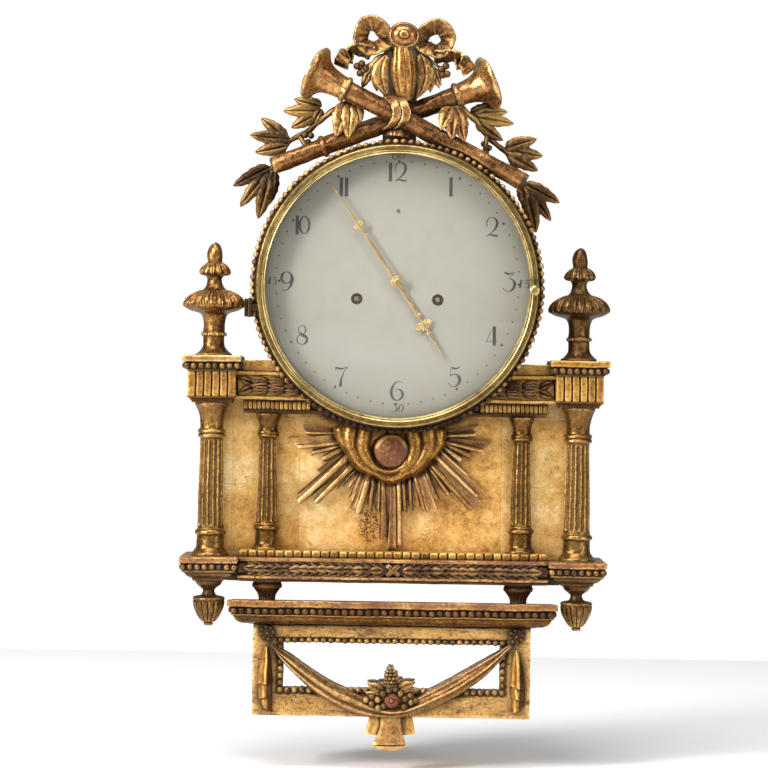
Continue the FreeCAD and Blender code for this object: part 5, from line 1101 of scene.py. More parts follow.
make("bouquet_rosette", G, gilt("rosette_red", srgb(168, 104, 66), srgb(118, 64, 44), srgb(70, 34, 26), wear=0.2, hollow_dirt_and_shade=1.2, met=0.5), wob=0.15)

# ---------------------------------------------------------------- sunburst on the panel
# each lath: root and tip of one long edge, root and tip of the other, section (r reed, h hollow), lift, bulge of the end
LATHS = [
    (332, 427.5, 303, 425, 331.5, 431.5, 304, 430, 'h', 0, 0), (331.5, 431.5, 307, 430.6, 332, 435, 306.5, 434.6, 'r', 0, 0.5), (332, 435, 288, 438.6, 334, 441, 295.6, 444.8, 'h', 1.2, -1.2), (334, 440.6, 296, 444.6, 337, 445.6, 300, 449.6, 'r', 1.6, 0.4),
    (337, 445, 312.4, 450, 339, 448, 311, 455.8, 'r', 0, 0), (339, 447.6, 323, 455.4, 343, 452, 324.4, 462, 'r', -0.4, 2.2), (342.4, 451, 316.6, 470, 344.6, 453.4, 318.4, 472, 'h', -0.6, 0),
    (344, 453, 297, 493, 346.4, 456, 299.5, 496.5, 'h', 0.6, 0), (345.4, 454.6, 296, 499.4, 349.6, 459.6, 301, 504, 'r', 2.4, 0.8), (349.2, 459.4, 303.5, 501.8, 351.4, 464.6, 312.4, 495, 'h', 1.4, -1.0), (350.4, 463.4, 313.6, 500, 354.2, 468.6, 318, 503.8, 'r', 2.2, 0.8),
    (354, 469.4, 337, 489.6, 356.4, 471.4, 342, 484.6, 'r', -0.8, 1.2), (356, 471, 343, 486.4, 358.6, 473, 350, 487, 'h', -1.0, 1.4),
    (357.6, 472, 348.6, 496.6, 361.4, 474, 350.6, 503, 'h', 0, 0.8), (361, 473.6, 349, 508.6, 366, 477, 354.6, 512.4, 'h', 1.4, -1.2), (365.4, 476.6, 354, 512, 371.4, 479, 361.4, 513.8, 'r', 2.0, 1.0),
    (371, 479, 367.4, 502.6, 376, 480.4, 371.6, 511.6, 'r', -0.6, 0.6), (376, 480, 372.8, 500, 378.6, 482, 376.6, 512, 'h', -1.0, 0.8), (378.2, 482, 376.6, 508, 381.4, 483.4, 379.8, 510.8, 'r', -0.8, 0.6),
    (380.6, 484, 379.4, 539, 386, 484, 388, 534.6, 'r', 2.0, 0.8), (385.4, 484, 385.6, 537, 391.4, 484, 390.6, 548, 'h', 1.2, -0.8), (390.8, 484, 388.2, 549.6, 395.4, 484, 396.4, 549.8, 'h', 2.0, 0.8), (394.8, 484, 395.8, 548, 397, 484, 398.2, 546.4, 'h', 1.0, 0), (396.4, 484, 397, 545.8, 401, 483, 402.8, 546.2, 'r', 2.4, 0.4),
    (400.8, 483, 401.6, 510.4, 405.4, 482, 407.4, 512.4, 'r', -0.8, 0.8), (405, 482, 406.6, 500, 408.4, 480.4, 410, 501, 'h', -1.2, 0), (408, 480.4, 408.6, 505, 411.6, 478, 413.4, 511.4, 'r', -0.8, 0.6), (411.2, 478, 413.6, 506.6, 413.4, 477, 420, 507, 'h', -0.4, -1.0),
    (412.6, 477, 422, 510.6, 417.6, 476, 427, 512.6, 'r', 1.8, 0.4), (417, 476, 426.4, 512.4, 424.4, 473, 437.4, 510.4, 'h', 1.6, 1.4), (424, 473, 432, 499.8, 427.4, 471, 439.8, 499.4, 'r', 0.4, -0.4), (427, 471, 433.6, 487, 429, 469.4, 441, 489.6, 'h', -0.8, -0.8), (428.6, 470, 446.8, 496.6, 431.4, 467.6, 450.4, 492.6, 'r', 0.2, 0.4),
    (430, 468, 469, 510.4, 434.6, 464, 473.6, 507, 'r', 2.0, 0.4), (434, 464.4, 472.8, 507.2, 438.6, 460.4, 481.8, 502.6, 'h', 1.6, 0.8), (437.4, 461.4, 475.2, 497.8, 440.4, 457, 478.2, 494.6, 'r', 2.6, 0.4), (439.8, 457.6, 477, 496, 442.4, 453.8, 484.4, 492, 'h', 2.0, 0.2),
    (441.6, 454.6, 466, 477, 443.6, 451.6, 469.6, 474.4, 'r', 0.2, 0.2), (443.2, 452, 461.4, 468, 445.4, 449.6, 459.4, 462.4, 'h', -0.8, 0), (444.6, 450.4, 459.4, 463, 447.4, 447, 462.8, 456.8, 'r', -0.4, 0.6),
    (447, 447, 469.4, 459.2, 449, 443.4, 470.4, 451.8, 'r', 0.2, -0.2), (448.4, 444.6, 480.4, 453.6, 449.4, 440.8, 484.6, 448.8, 'r', 1.8, 0.2), (449, 441.4, 484, 449.4, 449.4, 437.8, 492, 441.8, 'h', 1.4, 0.4),
    (449, 438, 476, 437.2, 448, 433.6, 475.2, 431.6, 'r', 0, 0.2), (447.4, 434, 472.6, 430.4, 446.4, 430.6, 479, 424.8, 'h', -0.4, 0)]
REED = (np.array([-1, -0.97, -0.88, -0.7, -0.42, -0.1, 0.22, 0.52, 0.76, 0.9, 0.97, 1]), np.array([0, 1.0, 2.2, 3.5, 4.5, 5.0, 4.9, 4.3, 3.3, 2.1, 1.0, 0]))
HOLL = (np.array([-1, -0.96, -0.86, -0.7, -0.4, 0, 0.4, 0.7, 0.86, 0.96, 1]), np.array([1.6, 2.6, 2.8, 2.2, 1.5, 1.2, 1.5, 2.2, 2.8, 2.6, 1.6]))
GR, GH = Geo(), Geo()
for i, (ax, ay, bx, by, cx, cy, ex, ey, kind, lift, bulge) in enumerate(LATHS):
    e0, e1, f0, f1 = (at(px, py, 62)[[0, 2]] for px, py in ((ax, ay), (bx, by), (cx, cy), (ex, ey)))
    de, df = (e1 - e0) / np.linalg.norm(e1 - e0), (f1 - f0) / np.linalg.norm(f1 - f0)
    e0, f0 = e0 - de * 9, f0 - df * 9
    d = (de + df) / np.linalg.norm(de + df)
    L = max(np.linalg.norm(e1 - e0), np.linalg.norm(f1 - f0))
    v, hv = REED if kind == 'r' else HOLL
    if i % 2:
        v, hv = -v[::-1], hv[::-1]
    w = np.clip((v + 1) / 2, 0, 1)
    over = 0.25 * v
    m = max(10, int(L / 2.6))
    rows = []
    for u in np.linspace(0, 1, m + 1):
        p, q = e0 + (e1 - e0) * u, f0 + (f1 - f0) * u
        sd = (q - p) / np.linalg.norm(q - p)
        P2 = p[None] * (1 - w)[:, None] + q[None] * w[:, None] + sd[None] * over[:, None]
        P2 = P2 + d[None] * (bulge * (1 - v ** 2) * u ** 6)[:, None]
        end = sstep(0.0, 1.6, (1 - u) * L)
        dep = 59.2 + lift + hv * (0.86 + 0.14 * end) - 0.5 * (1 - end) + 0.22 * np.sin(u * L * 0.3 + i) - 4.5 * (1 - sstep(5, 15, u * L))
        F = np.stack([P2[:, 0], -dep, P2[:, 1]], 1)
        Bk = np.stack([P2[:, 0], np.full(len(v), -51.6), P2[:, 1]], 1)
        rows.append(np.concatenate([F, Bk[::-1]]))
    R = clear(np.array(rows))
    (GR if kind == 'r' else GH).grid(R, cv=True, cap0=True, cap1=True, tone=0.5 + rng.uniform(-.25, .25))
make("sunburst_rays", GR, M_RAY, wob=0.25, rep=("sunburst",), sharp=38)
make("sunburst_hollows", GH, M_RAYRED, wob=0.25, sharp=38)
# cloud
G = Geo()
EDGE = [(333, 428), (334.4, 437), (340, 447), (346.6, 456), (350.4, 465), (357, 470.4), (365, 474), (374.6, 477.6), (381.4, 482), (390, 484.8), (400, 483), (408, 478.4), (418, 475.4), (425.4, 470), (432, 461.4), (440, 453), (445.4, 445), (447.4, 437), (447, 430)]
ea = np.degrees(np.arctan2([p[1] - 452 for p in EDGE], [p[0] - 389 for p in EDGE]))
ea = np.where(ea < -90, ea + 360, ea)
er = np.hypot([p[0] - 389 for p in EDGE], [p[1] - 452 for p in EDGE])
k = np.argsort(ea)
ta, tr = np.r_[-80, ea[k], 260], np.r_[24, er[k], 24]
na, nr_ = 300, 84
ang = np.radians(np.linspace(-78, 258, na))[:, None]
rho = np.linspace(0, 1, nr_)[None]
R0 = np.interp(np.degrees(ang), ta, tr)
Rr = 14 + (R0 - 14) * rho
X = 389 + Rr * np.cos(ang)
Y = 452 + Rr * np.sin(ang)
# rolling lobes: centre line, half width, height
LOBE = [([(337.5, 429), (340, 440), (346, 450), (352, 458.5)], 6.8, 6.6), ([(350, 430), (349.4, 445), (354, 457), (362, 466.5), (371, 472)], 7.9, 9.2), ([(364.5, 432), (362.8, 447), (367.4, 458.5), (376.4, 467)], 7.3, 10.4),
        ([(371, 471.5), (383, 478.4), (396, 479), (407.6, 472.4)], 6.6, 8.6), ([(377, 466.6), (387, 470.6), (398, 469), (406.4, 461.6)], 4.8, 9.6), ([(412.6, 432), (415.2, 447), (412, 460), (404, 468.6)], 7.7, 10.4),
        ([(428, 430), (428.8, 446), (423.8, 459), (414, 470.4)], 7.9, 9.2), ([(441, 429), (441.6, 441), (436, 452.6), (428.5, 461.8)], 6.8, 6.6)]
lob = np.zeros_like(X)
for pts, wd, ht in LOBE:
    L = spline(np.array(pts, float), 70)
    D2 = (X[..., None] - L[:, 0]) ** 2 + (Y[..., None] - L[:, 1]) ** 2
    dist = np.sqrt(D2.min(-1))
    side = np.hypot(X - 389, Y - 452) - np.hypot(L[D2.argmin(-1), 0] - 389, L[D2.argmin(-1), 1] - 452)
    one = ht * np.sqrt(np.clip(1 - (dist / wd) ** 2, 0, 1)) - 0.3 * np.exp(-((side - 0.42 * wd) / 1.1) ** 2) * (dist < wd)
    lob = lob + np.exp(one / 0.3)
Hh = 1.5 + 4.8 * np.sqrt(np.clip(1 - rho ** 5.0, 0, 1)) + 0.3 * np.log(np.maximum(lob, 1.0)) * np.sqrt(np.clip(1.02 - rho ** 9.0, 0, 1))
Hh = np.maximum(Hh * (0.74 + 0.26 * sstep(15.5, 19.5, np.hypot(X - 389, Y - 452))), 1.0)
Dp = 57.5 + Hh
u, vv = X - 384, Y - 384
A_, B_ = u * CT + vv * ST, -u * ST + vv * CT
k = 1.15 * (3400 - 66) / 3300
V = np.stack([-13.65 + A_ * k, -Dp, -112.07 - B_ * k], 2)
V = clear(V)
Bk = V.copy(); Bk[..., 1] = -52.0
loop = np.concatenate([V, Bk[:, ::-1]], axis=1)
# tone falls within reach of the drum: painted shadow of the drum on the cloud
G.grid(loop, cv=True, cap0=True, cap1=True, tone=0.5 - 0.5 * (1 - sstep(165, 180, np.hypot(loop[..., 0], loop[..., 2]))).ravel())
make("sunburst_cloud", G, M_CLOUD, wob=0.35, sharp=80)
G = Geo()
lathe(G, [(0, 0), (19.8, 0), (19.9, 7.4), (19.3, 9.2), (17.4, 10.8), (13, 12.4), (6.6, 13.4), (0, 13.7)], (-4, -62, -190.0), n=72, kind='y', fix=clear, step=1.4)
G.t = [tn + 0.85 * sstep(13.5, 18.5, np.hypot(V[:, 0] + 4, V[:, 2] + 190)) * sstep(1.0, 9.0, V[:, 2] + 190) - 0.25 * sstep(17.0, 19.6, np.hypot(V[:, 0] + 4, V[:, 2] + 190)) * (V[:, 2] < -190) for V, tn in zip(G.v, G.t)]
make("sunburst_boss", G, gilt("boss_red_clay", srgb(194, 146, 86), srgb(115, 73, 45), srgb(66, 40, 27), wear=0.3, hollow_dirt_and_shade=1.0, met=0.45, ro=(0.36, 0.52), bump=0.6, bole=srgb(102, 60, 48), pit=420), wob=0.2)

# ---------------------------------------------------------------- drum ring, bezel, glass
G = Geo()
lathe(G, [(153.6, 0), (164.0, 0), (166.3, 0.6), (167.4, 2.0), (166.6, 3.6), (164.6, 4.3), (163.6, 5.6), (163.4, 9.6), (163.0, 11.4), (162.4, 12.6), (161.4, 13.5), (160.2, 13.9), (153.6, 13.9), (153.6, 7), (153.6, 0)], (0, -104.1, 0), n=260, kind='y', step=0.9)
make("drum_ring", G, M_BROWN, wob=0.25, rep=("bead_moulding",))
G = Geo()
beads(G, [(165.8 * math.cos(a), -108.6, 165.8 * math.sin(a)) for a in np.linspace(0, 2 * pi, 122, endpoint=False)], 3.7, jit=0.08, sq=(1, 1.05, 1))
# beads darker towards the bottom of the ring: painted shade under the bezel
G.t = [t - 0.55 * sstep(-60, -150, V[:, 2]) - 0.5 * sstep(-135, -158, V[:, 2]) for V, t in zip(G.v, G.t)]
make("drum_beads", G, M_WARM, wob=0.3)
G = Geo()
lathe(G, [(150.9, 0.2), (161.3, 0.2), (161.5, 1.0), (161.5, 3.4), (161.0, 4.8), (160.3, 5.3), (159.6, 4.9), (159.2, 4.3), (158.8, 4.5), (157.6, 6.8), (156.3, 9.6), (155.9, 10.6), (155.5, 11.9), (154.7, 12.7), (153.9, 12.2), (153.5, 11.1), (153.1, 11.0), (152.7, 11.9), (152.0, 12.3), (151.3, 11.6), (150.9, 9.6), (150.9, 5.0), (150.9, 0.2)], (0, -118.4, 0), n=288, kind='y', step=0.55, corner=60)
make("bezel_turned", G, M_BEZEL, body="bezel_door", rep=("bezel_ring",), sharp=50)
G = Geo()
bl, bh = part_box("dial_glass")
gf, gb = -bl[1] * 1000, -bh[1] * 1000
rim = max(abs(bl[0]), abs(bh[0])) * 1000
sag = gf - gb - 2.0
RS = (rim ** 2 + sag ** 2) / (2 * sag)
rr = np.linspace(rim, 0, 44)
outer = [(r, gf - (RS - math.sqrt(RS * RS - r * r))) for r in rr]
inner_ = [(r, h - 2.0) for r, h in outer[::-1]]
lathe(G, outer + inner_ + [outer[0]], (0, 0, 0), n=128, kind='y', raw=True)
make("glass_dome", G, M_GLASS, body="bezel_door", rep=("dial_glass",), sharp=50)
# little pull knob at the right of the bezel
G = Geo()
lathe(G, [(0, 0), (5.4, 0), (5.4, 1.2), (3.4, 2.2), (2.5, 3.6), (3.0, 5.0), (5.0, 6.6), (6.1, 9.0), (5.6, 11.4), (3.6, 12.6), (1.4, 12.9), (0, 13)], (156, -131, -3.3), n=36, kind='y', step=0.6)
make("bezel_pull", G, M_BEZEL, body="bezel_door", rep=("bezel_knob",))

# ---------------------------------------------------------------- dial figures
DIGIT = {
    '1': [[(0, 1, .17), (0, .5, .17), (0, 0, .17)]],
    '0': None,
    '2': [[(-.22, .50, .03), (-.29, .68, .05), (-.20, .9, .05), (0, 1, .035), (.2, .9, .1), (.27, .7, .15), (.2, .48, .12), (0, .22, .06), (-.27, .02, .03)], [(-.27, .02, .03), (-.1, .09, .06), (.1, .06, .1), (.27, .03, .08), (.32, .12, .03)]],
    '3': [[(-.22, .93, .04), (-.2, .98, .09), (-.05, .92, .10), (.1, .95, .05), (.28, 1, .03)], [(.28, 1, .03), (.14, .83, .03), (0, .66, .03)], [(0, .66, .03), (.18, .62, .06), (.3, .42, .15), (.22, .15, .12), (0, .01, .04), (-.2, .06, .04), (-.3, .18, .04)]],
    '4': [[(.12, 1, .17), (.12, .5, .17), (.12, 0, .17)], [(.1, 1, .03), (-.05, .75, .03), (-.3, .2, .03)], [(-.3, .2, .03), (0, .22, .03), (.3, .24, .03)]],
    '5': [[(-.15, 1, .04), (-.05, .96, .09), (.1, .94, .09), (.3, 1.02, .03)], [(-.15, 1, .03), (-.18, .77, .03), (-.2, .55, .03)], [(-.2, .55, .03), (-.02, .65, .05), (.2, .58, .1), (.3, .35, .16), (.2, .1, .1), (0, 0, .04), (-.2, .06, .04), (-.28, .2, .03)]],
    '6': [[(.3, .9, .03), (.18, 1, .035), (-.02, .97, .05), (-.2, .78, .1), (-.3, .45, .15), (-.22, .14, .12), (0, 0, .04), (.2, .1, .1), (.3, .32, .14), (.2, .53, .09), (.02, .6, .03), (-.12, .5, .03)]],
    '7': [[(-.28, .9, .05), (-.24, .98, .09), (-.05, .93, .1), (.12, .96, .06), (.34, 1.02, .025)], [(.34, 1.0, .025), (.2, .86, .035), (.08, .6, .06), (0, .3, .11), (-.02, 0, .18)]],
    '8': [[(-.17, .66, .06), (0, .52, .13), (.2, .38, .12)]],
    '9': [[(.26, .75, .12), (.28, .55, .15), (.2, .28, .12), (.05, .08, .06), (-.15, 0, .035), (-.3, .08, .03)]],
}


def oval(cx, cy, rx, ry, wl, wr, wt):
    out = []
    for k in range(17):
        a = pi / 2 + 2 * pi * k / 16
        s = abs(math.cos(a))
        out.append((cx + rx * math.cos(a), cy + ry * math.sin(a), wt + ((wr if math.cos(a) > 0 else wl) - wt) * s ** 1.3))
    return out


DIGIT['0'] = [oval(0, .5, .25, .46, .125, .125, .035)]
DIGIT['8'] = DIGIT['8'] + [oval(0, .77, .19, .22, .04, .075, .03), oval(0, .27, .26, .26, .06, .13, .035)]
DIGIT['9'] = DIGIT['9'] + [oval(-.02, .68, .27, .30, .13, .12, .035)]
DF = 105.62


def figure(G, ch, x, z, size, fat=1.0, slant=0.0, lay=[0]):
    for st in DIGIT[ch]:
        C = spline(np.array(st, float), 34)
        P = C[:, :2] * size
        P[:, 0] += slant * P[:, 1]
        T = np.gradient(P, axis=0)
        T /= np.linalg.norm(T, axis=1)[:, None] + 1e-9
        Nn = np.stack([-T[:, 1], T[:, 0]], 1) * (np.maximum(C[:, 2], 0.02) * size * fat / 2)[:, None]
        lay[0] = (lay[0] + 1) % 7
        f = -(DF + 0.05 + 0.006 * lay[0])
        mid = np.array([x, 0, z - size / 2])
        def p3(Q, y):
            return np.stack([Q[:, 0], np.full(len(Q), y), Q[:, 1]], 1) + mid
        rows = np.stack([p3(P + Nn, -DF), p3(P + Nn, f), p3(P, f), p3(P - Nn, f), p3(P - Nn, -DF)], 1)
        G.grid(rows, cv=True, cap0=True, cap1=True)


G = Geo()
NUM = {'12': (397, 172), '1': (451, 187), '2': (492, 227), '3': (509, 282), '4': (492, 336), '5': (454, 377), '6': (397, 391), '7': (341, 377), '8': (302, 335), '9': (287, 281), '10': (301, 225), '11': (344, 187)}
OFF = {'12': (-6.5, 3.5), '10': (-3.8, 3.5), '11': (-2.7, 2.6)}
for k, (px, py) in NUM.items():
    for ch, o in zip(k, OFF.get(k, (0,))):
        p = at(px + o, py, DF)
        figure(G, ch, p[0], p[2], 21.8 if len(k) == 2 else 22.0)
for k, (px, py) in {'60': (398, 155.5), '15': (523, 284), '30': (397, 408), '45': (270.8, 280.8)}.items():
    for ch, o in zip(k, (-3.1, 3.3) if k != '45' else (-2.6, 2.8)):
        p = at(px + o, py, DF)
        figure(G, ch, p[0], p[2], 9.4 if k != '45' else 8.2, fat=1.25, slant=0.18)
make("dial_figures", G, M_INK, merge=0.001)
G = Geo()
for i in range(60):
    a = 2 * pi * i / 60
    r = 1.55 if i % 5 == 0 else 0.95
    q = 135.6 if i == 45 else 139.6
    c = np.array([q * math.sin(a), -DF + 0.03, 4.5 + q * math.cos(a)])
    if np.hypot(c[0], c[2]) > 149.2:
        continue
    lathe(G, [(r, 0), (r, 0.07), (r * 0.8, 0.09), (0, 0.10)], c, n=14, kind='y', raw=True)
make("dial_dots", G, M_INK, merge=0.001)
G = Geo()
for s in (-1, 1):
    lathe(G, [(5.62, -1.2), (6.5, -0.02), (6.5, 0.35), (6.1, 0.5), (5.62, 0.4), (5.62, -1.2)], (46.5 * s, -105.6, -14.6), n=44, kind='y', raw=True)
make("winding_hole_rings", G, M_IRON)

# ---------------------------------------------------------------- hands
def hand(G, deg, d0, d1, prof, knots):
    f = math.radians(deg)
    u = np.array([math.sin(f), 0, math.cos(f)])
    s = np.array([math.cos(f), 0, -math.sin(f)])
    o = np.array([0, 0, 4.5])
    R = np.linspace(prof[0][0], prof[-1][0], 110)
    W = np.interp(R, [p[0] for p in prof], [p[1] for p in prof])
    sec = np.array([(-1, 0), (-1, .55), (-.55, .9), (0, 1), (.55, .9), (1, .55), (1, 0)])
    rows = []
    for r, w in zip(R, W):
        rows.append([o + u * r + s * (w * a) + FRONT * (d0 + (d1 - d0) * b) for a, b in sec])
    G.grid(rows, cv=True, cap0=True, cap1=True)
    th = (d1 - d0)
    for r, off, ln, w, turn in knots:
        t = math.radians(turn)
        dv = u * math.cos(t) + s * math.sin(t)
        b = o + u * r + s * off + FRONT * (d0 + 0.25 * th)
        leaf(G, b, b + dv * ln, w, arch=0.1, thick=th * 0.62, rib=0.2, vein=0, nu=9, nv=7, pw=1.25, base=0.25, tone=0.5)


def cross(r, arm, k):
    out = []
    for sgn in (-1, 1):
        out += [(r, 0, arm * 0.62, 3.2 * k, sgn * 90), (r, sgn * arm * 0.5, arm * 0.5, 3.0 * k, sgn * 90), (r, sgn * arm * 0.5, arm * 0.42, 2.4 * k, sgn * 35), (r, sgn * arm * 0.5, arm * 0.42, 2.4 * k, sgn * 145),
                (r, 0, arm * 0.75, 2.8 * k, sgn * 45), (r, 0, arm * 0.75, 2.8 * k, sgn * 135)]
    return out


G = Geo()
hand(G, 325.2, 113.5, 114.75, [(6, 1.9), (14, 2.3), (22, 1.6), (30, 1.9), (45, 2.2), (60, 1.6), (72, 1.1), (77, 1.7), (81, 1.7), (86, 1.2), (90, 1.3), (95, 1.0), (110, .85), (122, .8), (125, 1.4), (128, .7), (139, .25)], cross(79, 8, 1.1) + [(88, 0, 5, 2.2, 30), (88, 0, 5, 2.2, -30), (68, 0, 6, 2.4, 150), (68, 0, 6, 2.4, -150)])
make("minute_hand_cut", G, M_HAND, body="minute_arbor", rep=("minute_hand",))
G = Geo()
hand(G, 147.2, 109.5, 110.8, [(6, 2.0), (14, 2.4), (24, 1.7), (34, 2.2), (46, 1.6), (55, 1.4), (58, 2.2), (62, 1.5), (70, 1.3), (80, 1.0), (88, .9), (92, 1.8), (95, .9), (106, .25)], cross(58, 11, 1.25) + [(66, 0, 7, 2.8, 32), (66, 0, 7, 2.8, -32), (48, 0, 7, 2.8, 150), (48, 0, 7, 2.8, -150), (80, 0, 5, 2.0, 30), (80, 0, 5, 2.0, -30)])
make("hour_hand_cut", G, M_HAND, body="hour_arbor", rep=("hour_hand",))
G = Geo()
lathe(G, [(2.2, 0.1), (7.2, 0.1), (7.3, 0.6), (6.6, 1.1), (5.6, 1.2), (5.2, 1.0), (4.6, 1.8), (3.2, 2.5), (2.4, 2.6), (2.2, 2.0), (2.2, 0.1)], (0, -114.9, 4.5), n=40, kind='y', step=0.4)
make("hand_collet", G, M_HAND, body="minute_arbor", rep=("hand_nut",))
G = Geo()
tube(G, np.linspace((-4.5, -117.1, 5.4), (10.5, -117.1, 2.4), 12), np.linspace(0.55, 0.85, 12), n=10)
make("hand_pin", G, M_STEEL, body="minute_arbor")

# ---------------------------------------------------------------- crest
def trumpet(name, mouth, tail, d, prof, rep):
    m, t = np.array([mouth[0], -d, mouth[1]]), np.array([tail[0], -d, tail[1]])
    L = np.linalg.norm(t - m)

    def off(V):
        R = np.hypot(V[..., 0], V[..., 2])
        near = (-V[..., 1] > 102.5) & (R < 170.6) | (R < 163.9)
        lim = np.where(-V[..., 1] > 102.5, 170.6, 163.9)
        k = np.where(near, lim / np.maximum(R, 1e-6), 1.0)
        W = V.copy(); W[..., 0] *= k; W[..., 2] *= k
        ax = (t - m) / L
        h = (W - m) @ ax
        W = W + (0.2 * (W[..., 1] + d) * (1 - sstep(2, 22, h)))[..., None] * ax
        return W
    G = Geo()
    lathe(G, prof(L), m, n=56, kind=(t - m), fix=off, step=2.2,
          disp=lambda th, h, r: 0.35 * sin(2 * th + h * 0.05) + 0.25 * sin(5 * th - h * 0.11))
    G.t = [tn + 0.1 - 0.34 * sstep(26, 60, (V - m) @ ((t - m) / L)) + 0.15 * sstep(140, 220, (V - m) @ ((t - m) / L)) for V, tn in zip(G.v, G.t)]
    make(name, G, M_TRUMPET, wob=0.5, rep=(rep,), sharp=50)


def bell(L, rings):
    p = [(3.6, 50), (5.2, 38), (7.6, 27), (10.6, 18), (15.5, 10), (21.0, 5.0), (25.6, 1.4), (28.0, -0.8), (29.8, -1.4), (31.4, -0.8), (32.2, 0.8), (31.9, 2.8), (30.4, 4.4), (27.8, 5.6), (24.0, 8.0), (20.0, 11.6), (16.8, 16.4), (14.8, 22), (13.6, 28), (13.0, 33), (12.8, 36.5), (13.6, 37.4), (15.0, 38.8), (15.2, 41), (13.8, 42.8), (12.2, 43.8), (11.3, 46)]
    for r in rings:
        p += [(10.7, r - 4), (11.7, r - 3), (13.0, r - 1.2), (13.0, r + 1.2), (11.6, r + 3), (10.6, r + 4)]
    return p + [(10.2, L - 16), (9.8, L - 4), (9.0, L - 1), (7.0, L), (0, L)]


trumpet("trumpet_front", (-99, 244), (143, 123), 101, lambda L: bell(L, []), "trumpet_left")
trumpet("trumpet_rear", (103, 238), (-147, 138), 78, lambda L: bell(L, [206]), "trumpet_right")

# knob and bow
G = Geo()
lathe(G, [(0, -22), (9, -22), (11, -10), (14, 0), (17.4, 1.6), (18.5, 4.4), (18.2, 7.4), (16.8, 9.6), (15.8, 10.2), (15.2, 9.8), (14.4, 10.8), (11.5, 13.8), (7.6, 15.6), (6.6, 15.6), (6.3, 16.6), (6.4, 18.6), (5.4, 20.4), (3, 21.5), (0, 21.8)], (3, -104.4, 288.0), n=72, kind='y', s2=0.82, step=0.8)
make("crest_knob", G, M_TRUMPET, wob=0.25)


def pleats(n, amp, ph=0.0):
    return lambda u, c: amp * np.sin(2 * pi * (n * u + 0.12 * c + ph)) + 0.5 * amp * np.sin(2 * pi * (n * 2.3 * u - 0.2 * c))


G = Geo()


def loop(pts, hw, th, tilt, tone=0.5, np_=64, pl=7):
    P = spline([at(x, y, d) for x, y, d in pts], np_)
    if len(tilt) == 2:
        C = at(tilt[0], tilt[1], 100)
        rad = (P - C) * np.array([1, 0, 1])
        W = 0.82 * rad / (np.linalg.norm(rad, axis=1)[:, None] + 1e-9) + 0.57 * FRONT
    else:
        W = unit(tilt)
    strap(G, P, hw, th, W, n=26, tone=tone, pleat=pleats(pl, 0.8, rng.random()))


loop([(387.8, 40.3, 98), (382.9, 30.6, 101), (374.6, 23.1, 103), (365.3, 24.9, 102), (361.2, 33.7, 100), (362.7, 42.9, 98), (369.7, 47.8, 98), (379.0, 46.4, 100), (388.7, 41.2, 99)], 10.0, 4.8, (372.6, 34.5), 0.55, 84, pl=5)
loop([(418.5, 41.6, 98), (424.6, 33.2, 101), (433.0, 27.1, 103), (442.7, 28.0, 102), (447.9, 36.3, 100), (446.2, 45.6, 98), (439.1, 50.8, 98), (429.5, 49.1, 100), (418.5, 42.9, 99)], 10.0, 4.8, (436.5, 38), 0.5, 84, pl=5)
# ribbon ends beside the bow
loop([(372, 53, 96), (363, 50, 98), (354, 49, 100), (347.5, 51.5, 100), (343.5, 58, 98), (340.5, 67, 95)], 9.4, 3.8, (0.9, -0.55, 0.6), 0.5, 44, 4)
loop([(352, 51, 95), (350, 57, 96), (349, 63, 94)], 5.0, 3.0, (0.9, -0.5, 0.3), 0.4, 24, 2)
loop([(434, 57, 96), (444, 56, 98), (454, 55.5, 100), (461.5, 58, 100), (466, 64.5, 98), (470, 72.5, 95)], 9.4, 3.8, (-0.9, -0.55, 0.6), 0.45, 44, 4)
loop([(457, 57.5, 95), (459, 63, 96), (460.5, 69, 94)], 5.0, 3.0, (-0.9, -0.5, 0.3), 0.4, 24, 2)
make("crest_bow", G, M_BOW, wob=0.35, rep=("crest_ribbon",), sharp=60)

# fluted stem under the knob
G = Geo()
top, bot = at(402.5, 47, 104), at(405.5, 101, 99)
POD = [(0, 0), (7.4, 0.4), (8.8, 4), (10.6, 12), (12.9, 22), (14.2, 33), (13.6, 42), (11.8, 51), (10.6, 57), (9.6, 62), (0, 62.4)]
lathe(G, POD, bot, n=88, kind=(top - bot), step=1.6, disp=lambda th, h, r: 2.1 * (np.abs(cos(3.5 * th + 0.4)) ** 0.55 - 0.6) * sstep(2, 12, h))
# small foot below the crossing, and the backing that carries the crest
P = spline([at(402, 99, 92), at(401.5, 115, 91), at(399, 127, 88), at(397.6, 137, 88)], 21)
tube(G, P, np.interp(np.linspace(0, 1, 21), [0, .45, .66, 1], [5.5, 7.0, 11.6, 13.0]), n=64, disp=lambda u, th: 1.1 * (np.abs(cos(5 * th)) ** 0.7 - 0.95))
make("crest_pod", G, M_POD, wob=0.25, rep=("crest_stem",))
G = Geo()
boxsweep(G, -9, 9, 3, 66.8, [(1.5, 250), (0, 248), (0, 212), (0, 174), (1.5, 172)], step=6, pstep=4)
boxsweep(G, -11, 14, 3, 92, [(2, 274), (0, 272), (0, 268), (0, 265.5), (1, 264.5)], step=6, pstep=3)
make("crest_backing", G, M_BROWN, wob=0.3)
# binding round the crossing
G = Geo()
for k, (dx, w) in enumerate(((-5.6, 4.8), (4.0, 4.8))):
    P = spline([at(392 + dx, 97, 84), at(393.5 + dx, 97.6, 100), at(399.5 + dx, 103, 113.5), at(402.5 + dx, 113, 116.5), at(399.5 + dx, 122, 113), at(393.5 + dx, 127.5, 100), at(392 + dx, 128, 84)], 40)
    strap(G, P, w, 3.2, RIGHT + 0.3 * UP, n=20, tone=0.5 + 0.1 * k, pleat=pleats(3, 0.35, 0.3 * k))
make("crossing_binding", G, M_TRUMPET, wob=0.25)

